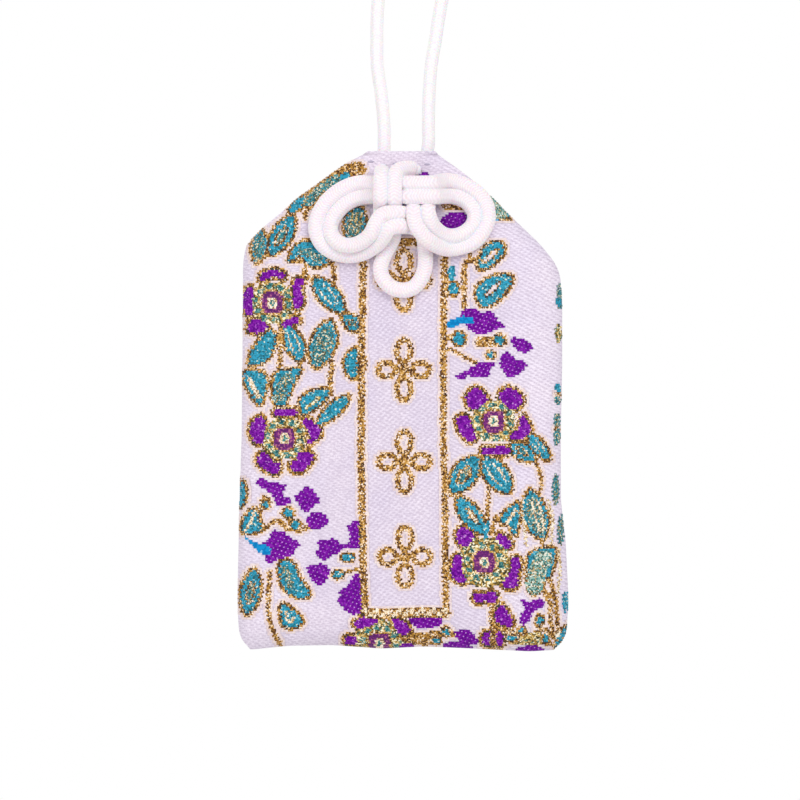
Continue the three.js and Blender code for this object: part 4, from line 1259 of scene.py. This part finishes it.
def all_motifs():
    made = upper_left_motifs() + lower_left_motifs() + upper_right_motifs() + lower_right_motifs()
    return made + bottom_motifs() + seam_motifs() + panel_motifs()


def spread(cells, columns, rows):
    """Cells of a grid within a number of columns and rows of marked ones."""
    wide = cells.copy()
    for step in range(1, columns + 1):
        wide[:, step:] |= cells[:, :-step]
        wide[:, :-step] |= cells[:, step:]
    high = wide.copy()
    for step in range(1, rows + 1):
        high[step:] |= wide[:-step]
        high[:-step] |= wide[step:]
    return high


def weave_codes(motifs, xs, drops, hole_xs):
    """Which colour the weave shows at each crossing of warp and weft. 0 is the ground.

    A leaf frays into its gold line, painted shade darkens some of the line's cells beside a colour,
    and beside the line gold shows through the ground.
    """
    number = {colour: k + 1 for k, colour in enumerate(WOVEN)}
    rng = np.random.default_rng(WEAVE_SEED)
    teeth = np.where(np.arange(len(drops)) % 2, TOOTH, -TOOTH)
    teeth = teeth + rng.uniform(-EDGE_JITTER, EDGE_JITTER, len(drops))
    shifted = xs[None, :] + teeth[:, None]
    heights = np.repeat(drops[:, None], len(xs), axis=1)
    codes = np.zeros((len(drops), len(xs)), int)
    for _, colour, test in sorted(motifs, key=lambda motif: motif[0]):
        codes[test(shifted, heights)] = number[colour]
    fray = spread(codes == number["gold"], 1, 0) & (rng.random(codes.shape) < FRAY_SHARE)
    codes[fray & (codes == number["teal"])] = number["gold"]
    gold = codes == number["gold"]
    filled = np.isin(codes, [number["teal"], number["purple"], number["bud"]])
    # Painted shade: some gold cells next to a coloured fill are turned dark where the fill meets its
    # line.
    codes[gold & spread(filled, 1, 1) & (rng.random(codes.shape) < CONTOUR_SHADE_SHARE)] = number["contour_shade"]
    codes[(codes == 0) & spread(gold, GLOW_COLUMNS, GLOW_ROWS)] = number["glow"]
    across = xs[None, :]
    inside = across > left_side(heights) + WEAVE_EDGE_GAP
    inside &= across < right_side(heights) - WEAVE_EDGE_GAP
    for hole_x in hole_xs:
        inside &= np.hypot(across - hole_x, heights - HOLE_DROP) > CORD_DIAMETER / 2
    return np.where(inside, codes, 0)


def woven_floats(name, codes, xs, drops, facing):
    """The coloured weft: a low rounded ridge for each run of one colour along a row."""
    places, faces, choices = [], [], []
    count = 0
    sections = [(-0.5, FLOAT_EDGE_LIFT), (0.0, FLOAT_CREST_LIFT), (0.5, FLOAT_EDGE_LIFT)]
    for row, drop in zip(codes, drops):
        breaks = np.flatnonzero(np.diff(row)) + 1
        for start, stop in zip(np.r_[0, breaks], np.r_[breaks, len(row)]):
            code = row[start]
            if code == 0:
                continue
            ends = xs[start] - WARP_PITCH / 2, xs[stop - 1] + WARP_PITCH / 2
            steps = max(2, math.ceil((ends[1] - ends[0]) / FLOAT_STEP) + 1)
            along = np.linspace(*ends, steps)
            for share, lift in sections:
                level = np.full(steps, drop + share * WEFT_PITCH)
                places.append(np.stack([along, level, np.full(steps, lift)]))
            made = grid_faces(len(sections), steps, count)
            faces.extend(made)
            choices.extend([code - 1] * len(made))
            count += len(sections) * steps
    x, drop, lift = np.concatenate(places, axis=1)
    points = on_cloth(-facing * x, drop, facing, lift)
    return mesh_piece(name, points, faces, list(WOVEN.values()), choices)


# Cord


def smooth_route(points, step):
    """Evenly spaced places on a smooth curve through points."""
    knots = np.array(points, float)
    knots = np.vstack([2 * knots[0] - knots[1], knots, 2 * knots[-1] - knots[-2]])
    dense = []
    for p0, p1, p2, p3 in zip(knots, knots[1:], knots[2:], knots[3:]):
        t1 = np.linalg.norm(p1 - p0) ** 0.5
        t2 = t1 + np.linalg.norm(p2 - p1) ** 0.5
        t3 = t2 + np.linalg.norm(p3 - p2) ** 0.5
        t = np.linspace(t1, t2, ROUTE_STEPS, endpoint=False)[:, None]
        a1 = (t1 - t) / t1 * p0 + t / t1 * p1
        a2 = (t2 - t) / (t2 - t1) * p1 + (t - t1) / (t2 - t1) * p2
        a3 = (t3 - t) / (t3 - t2) * p2 + (t - t2) / (t3 - t2) * p3
        b1 = (t2 - t) / t2 * a1 + t / t2 * a2
        b2 = (t3 - t) / (t3 - t1) * a2 + (t - t1) / (t3 - t1) * a3
        dense.append((t2 - t) / (t2 - t1) * b1 + (t - t1) / (t2 - t1) * b2)
    line = np.vstack([*dense, knots[-2:-1]])
    along = np.r_[0, np.cumsum(np.linalg.norm(np.diff(line, axis=0), axis=1))]
    even = np.linspace(0, along[-1], max(2, round(along[-1] / step)) + 1)
    return np.stack([np.interp(even, along, line[:, k]) for k in range(3)], axis=1)


def unit(vectors):
    return vectors / np.linalg.norm(vectors, axis=-1, keepdims=True)


def cross_frames(path):
    """Directions across a path: level with the cloth, and away from it.

    Where the path runs straight out of the cloth, the directions before it are carried on.
    """
    outward = np.array([0.0, -1.0, 0.0])
    steepest = 0.2
    change = 0.5
    carry = 1.02
    tangents = unit(np.gradient(path, axis=0))
    sides = np.empty_like(path)
    last = unit(np.cross(tangents[0], outward) + 1e-6)
    for k, tangent in enumerate(tangents):
        level = np.cross(tangent, outward)
        strength = min(1.0, max(0.0, np.linalg.norm(level) - steepest) / change)
        level = level if level @ last > 0 else -level
        carried = unit(last - tangent * (last @ tangent))
        last = unit(carried * (carry - strength) + unit(level + 1e-9) * strength)
        last = unit(last - tangent * (last @ tangent))
        sides[k] = last
    return sides, np.cross(tangents, sides)


def tube(path, half_width, half_height, sides, first=0):
    """Points and faces of a tube along a path, closed at both ends.

    The half width and height may differ from ring to ring and from side to side. first is the number of
    the tube's first point.
    """
    across, ups = cross_frames(path)
    angles = np.linspace(0, 2 * math.pi, sides, endpoint=False)
    rings = (
        path[:, None, :]
        + across[:, None, :] * (half_width * np.cos(angles))[..., None]
        + ups[:, None, :] * (half_height * np.sin(angles))[..., None]
    )
    faces = []
    for ring in range(len(path) - 1):
        start = first + ring * sides
        for side in range(sides):
            a, b = start + side, start + (side + 1) % sides
            faces.append((a, b, b + sides, a + sides))
    last = first + (len(path) - 1) * sides
    faces.append(tuple(range(first + sides - 1, first - 1, -1)))
    faces.append(tuple(range(last, last + sides)))
    return rings.reshape(-1, 3), faces


def braided_tube(name, path, width, thickness, material):
    """A braid of oval section along a path, with its plaits in relief and rounded ends."""
    along = np.r_[0, np.cumsum(np.linalg.norm(np.diff(path, axis=0), axis=1))]
    from_end = np.minimum(along, along[-1] - along)
    near_end = np.clip(1 - from_end / (CUT_ROUNDING * thickness), 0, 1)
    round_off = np.sqrt(1 - near_end**2 * CUT_NARROWING)[:, None]
    angles = np.linspace(0, 2 * math.pi, CORD_SIDES, endpoint=False)
    groove = BRAID_RELIEF * (1 - np.abs(np.sin(BRAID_PLAITS * angles / 2)))
    half_width = (width / 2 - groove) * round_off
    half_thickness = (thickness / 2 - groove) * round_off
    points, faces = tube(path, half_width, half_thickness, CORD_SIDES)
    lays = along / BRAID_PITCH
    plaits = BRAID_PLAITS * np.arange(CORD_SIDES + 1) / CORD_SIDES
    braid = []
    for lay, next_lay in zip(lays, lays[1:]):
        for plait, next_plait in zip(plaits, plaits[1:]):
            braid.extend([(lay, plait), (lay, next_plait), (next_lay, next_plait), (next_lay, plait)])
    braid.extend([(0, 0)] * (2 * CORD_SIDES))
    return mesh_piece(name, points * MM, faces, [material], braid=braid)


def knot_places():
    """The front knot's route, with its two necks ending in front of the holes."""
    neck_y = MIDDLE_Y - MOUTH_DEPTH / 2 - RUN_PROUD - FIT_GAP - STRAND_WIDTH / 2
    places = [(LEFT_HOLE_X, neck_y, TOP_Z - HOLE_DROP)]
    for x, drop, layer in KNOT_ROUTE:
        back_y = MIDDLE_Y - float(middle_depth(drop)) - KNOT_BACK_GAP
        places.append((x, back_y - LAYER_PITCH * layer, TOP_Z - drop))
    places.append((RIGHT_HOLE_X, neck_y, TOP_Z - HOLE_DROP))
    return places


def strand_places(hole_x, strand_x, route, end_x):
    """A cord from the front of its hole, through the pouch, over its top edge and up to the end knot."""
    front_y = MIDDLE_Y - MOUTH_DEPTH / 2 - RUN_PROUD
    bend_y = -RUN_BEND
    hole_z = TOP_Z - HOLE_DROP
    places = [(hole_x, y, hole_z) for y in (front_y, front_y + CORD_DIAMETER, bend_y)]
    bend_steps = 3
    for k in range(1, bend_steps + 1):
        turn = math.pi / 2 * k / bend_steps
        x = hole_x + (strand_x - hole_x) * RUN_BEND_SHIFT * k / bend_steps
        places.append((x, bend_y + RUN_BEND * math.sin(turn), hole_z + RUN_BEND * (1 - math.cos(turn))))
    places.append((strand_x, 0, TOP_Z + SWING_HEIGHT))
    places.extend((x, 0, TOP_Z + height) for x, height in route)
    places.append((end_x, 0, 0))
    places.append((STRAND_TUCK * end_x, 0, END_KNOT_HEIGHT / 2))
    return places


def tail_places(start_x, route):
    """A cut end of the cord, from inside the end knot outwards."""
    foot = END_KNOT_HEIGHT + 2 * FIT_GAP
    places = [(STRAND_TUCK * start_x, 0, foot - TAIL_ROOT), (start_x, 0, foot)]
    return places + [(x, y, foot + up) for x, y, up in route]


def end_knot_places():
    """Turns of cord wound round the two strands."""
    places = []
    for turn in np.linspace(0, END_KNOT_TURNS, END_KNOT_PLACES):
        x = END_KNOT_HALF_WIDTH * math.cos(2 * math.pi * turn)
        y = END_KNOT_HALF_DEPTH * math.sin(2 * math.pi * turn)
        rise = END_KNOT_CORD / 2 + (END_KNOT_HEIGHT - END_KNOT_CORD) * turn / END_KNOT_TURNS
        places.append((x, y, rise + FIT_GAP))
    return places


def thread_tube(name, paths, material):
    """Short lengths of sewing thread as one piece."""
    points, faces = [], []
    radius = THREAD_DIAMETER / 2
    for path in paths:
        places, sides = tube(path, radius, radius, THREAD_SIDES, len(points))
        points.extend(places * MM)
        faces.extend(sides)
    return mesh_piece(name, points, faces, [material])


def seam_stitches(sign, top):
    """Small stitches across one side seam, from a drop down to the fold. sign is 1 for the right side."""
    line = right_side if sign > 0 else left_side
    paths = []
    for drop in np.arange(top, FOLD_START, SEAM_STITCH):
        edge = float(line(drop))
        places = []
        for turn in np.linspace(-1, 1, STITCH_PLACES):
            x = edge - sign * (SEAM_STITCH_INSET + SEAM_STITCH_BOW * turn**2)
            y = MIDDLE_Y + turn * (SEAM_HALF + SEAM_STITCH_REACH)
            places.append((x, y, TOP_Z - drop - SEAM_STITCH_SLANT * turn))
        paths.append(np.array(places))
    return thread_tube("seam_stitches_right" if sign > 0 else "seam_stitches_left", paths, THREAD)


def mouth_stitches():
    """Running stitches that show below the mouth, in front and behind, coloured darker as painted shade
    of the pits they pull into the cloth.
    """
    along = np.linspace(-MOUTH_STITCH_HALF, MOUTH_STITCH_HALF, STITCH_PLACES)
    lift = MOUTH_STITCH_LIFT - MOUTH_STITCH_SINK * (along / MOUTH_STITCH_HALF) ** 2
    paths = []
    for facing in (-1, 1):
        for x, drop in MOUTH_STITCHES:
            paths.append(on_cloth(x + along, np.full(STITCH_PLACES, drop), facing, lift) / MM)
    return thread_tube("mouth_stitches", paths, MOUTH_THREAD_PAINTED_SHADE)


# Stage


def make_stage():
    """A wide pale floor far below the charm, in metres."""
    half = 1.5
    floor_z = -0.5
    points = [(half * x, half * y, floor_z) for x, y in ((-1, -1), (1, -1), (1, 1), (-1, 1))]
    mesh = bpy.data.meshes.new("floor")
    mesh.from_pydata(points, [], [(0, 1, 2, 3)])
    look = Look("floor_pale", 0.9)
    mist = look.add("ShaderNodeTexNoise", Vector=look.place, Scale=0.01)
    look.colour(look.palette(mist, [(0.3, (244, 244, 244)), (0.7, (248, 248, 248))]))
    mesh.materials.append(look.material)
    floor = bpy.data.objects.new("floor", mesh)
    bpy.context.scene.collection.objects.link(floor)


def make_world(strength):
    """Even white surroundings, pure white where they are seen or mirrored."""
    world = bpy.data.worlds.new("studio")
    world.use_nodes = True
    tree = world.node_tree
    lit = tree.nodes["Background"]
    lit.inputs["Color"].default_value = (1, 1, 1, 1)
    lit.inputs["Strength"].default_value = strength
    seen = tree.nodes.new("ShaderNodeBackground")
    seen.inputs["Color"].default_value = (1, 1, 1, 1)
    rays = tree.nodes.new("ShaderNodeLightPath")
    direct = rays.outputs["Is Camera Ray"]
    for ray in ("Is Glossy Ray", "Is Transmission Ray"):
        either = tree.nodes.new("ShaderNodeMath")
        either.operation = "MAXIMUM"
        tree.links.new(direct, either.inputs[0])
        tree.links.new(rays.outputs[ray], either.inputs[1])
        direct = either.outputs[0]
    choose = tree.nodes.new("ShaderNodeMixShader")
    tree.links.new(direct, choose.inputs["Fac"])
    tree.links.new(lit.outputs["Background"], choose.inputs[1])
    tree.links.new(seen.outputs["Background"], choose.inputs[2])
    tree.links.new(choose.outputs["Shader"], tree.nodes["World Output"].inputs["Surface"])
    bpy.context.scene.world = world


def make_light(name, place, target, size, power):
    """A square area light that faces its target."""
    light = bpy.data.lights.new(name, "AREA")
    light.size = size
    light.energy = power
    holder = bpy.data.objects.new(name, light)
    holder.location = place
    holder.rotation_euler = (Vector(target) - Vector(place)).to_track_quat("-Z", "Y").to_euler()
    bpy.context.scene.collection.objects.link(holder)


def make_camera():
    """Level view of the front, with the pouch's top edge and middle line placed as in the photo."""
    image_size = 800
    millimetres_per_pixel = 0.14
    middle_column, top_row = 403, 150
    distance = 550.0
    camera = bpy.data.cameras.new("camera")
    camera.sensor_width = 36
    camera.lens = camera.sensor_width * distance / (image_size * millimetres_per_pixel)
    camera.clip_start = 0.01
    holder = bpy.data.objects.new("camera", camera)
    x = (image_size / 2 - middle_column) * millimetres_per_pixel
    z = TOP_Z - (image_size / 2 - top_row) * millimetres_per_pixel
    holder.location = Vector((x, MIDDLE_Y - POUCH_DEPTH / 2 - distance, z)) * MM
    holder.rotation_euler = (math.pi / 2, 0, 0)
    bpy.context.scene.collection.objects.link(holder)
    bpy.context.scene.camera = holder


# Camera and cords first

make_camera()
bpy.context.scene.view_settings.view_transform = "Standard"

tails = []
tail_facts = (("left", -STRAND_END_X, LEFT_TAIL_ROUTE), ("right", STRAND_END_X, RIGHT_TAIL_ROUTE))
for side, start_x, route in tail_facts:
    path = smooth_route(tail_places(start_x, route), BRAID_STEP)
    piece = braided_tube(f"cord_tail_{side}", path, CORD_DIAMETER, CORD_DIAMETER, FREE_CORD_PAINTED_LIGHTER)
    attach(piece, "loop")
    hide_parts(f"loop_tail_{side}")
    tails.append(piece)

path = smooth_route(end_knot_places(), BRAID_STEP)
wound = braided_tube("cord_end_knot", path, END_KNOT_CORD, END_KNOT_CORD, FREE_CORD_PAINTED_LIGHTER)
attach(wound, "loop")
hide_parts("loop_end_knot")

strand_facts = (
    ("left", LEFT_HOLE_X, LEFT_STRAND_X, LEFT_STRAND_ROUTE, -STRAND_END_X, [wound, *tails]),
    ("right", RIGHT_HOLE_X, RIGHT_STRAND_X, RIGHT_STRAND_ROUTE, STRAND_END_X, []),
)
for side, hole_x, strand_x, route, end_x, others in strand_facts:
    path = smooth_route(strand_places(hole_x, strand_x, route, end_x), BRAID_STEP)
    piece = braided_tube(f"cord_strand_{side}", path, CORD_DIAMETER, CORD_DIAMETER, FREE_CORD_PAINTED_LIGHTER)
    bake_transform(piece)
    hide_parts(f"loop_strand_{side}", f"cord_run_{side}")

path = smooth_route(knot_places(), BRAID_STEP)
knot = braided_tube("cord_front_knot", path, KNOT_WIDTH, KNOT_THICKNESS, KNOT_CORD_PAINTED_BOUNCE)
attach(knot, "knot")
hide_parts("front_knot")

# Pouch

cloth = pouch_cloth()
lining = interlining()
weave_xs = np.arange(-WEAVE_HALF_WIDTH, WEAVE_HALF_WIDTH, WARP_PITCH)
weave_drops = np.arange(WEAVE_TOP_DROP, POUCH_HEIGHT - WEAVE_EDGE_GAP, WEFT_PITCH)
floats = []
for side, facing in (("front", -1), ("back", 1)):
    hole_xs = (-facing * LEFT_HOLE_X, -facing * RIGHT_HOLE_X)
    codes = weave_codes(all_motifs(), weave_xs, weave_drops, hole_xs)
    floats.append(woven_floats(f"brocade_floats_{side}", codes, weave_xs, weave_drops, facing))
left_seam = seam_stitches(-1, LEFT_SEAM_TOP)
right_seam = seam_stitches(1, RIGHT_SEAM_TOP)
mouth = mouth_stitches()
for piece in (cloth, lining, *floats, left_seam, right_seam, mouth):
    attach(piece, "pouch")
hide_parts("pouch_cloth")
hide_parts("interlining")
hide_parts("seam_thread_left")
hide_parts("seam_thread_right")
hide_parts("mouth_thread")

for node, material in (("stiffener_card", CARD), ("talisman_wrapper", PAPER), ("talisman_tablet", WOOD)):
    bpy.data.objects[node].data.materials.clear()
    bpy.data.objects[node].data.materials.append(material)

# Stage and light

make_stage()
make_world(strength=0.58)
middle = (0, 0, (TOP_Z - POUCH_HEIGHT / 2) * MM)
make_light("key", (0.28, -0.58, 0.34), middle, size=0.5, power=2.6)
make_light("fill", (-0.5, -0.55, -0.05), middle, size=0.6, power=1.4)
make_light("back", (-0.25, 0.62, 0.3), middle, size=0.6, power=2.2)
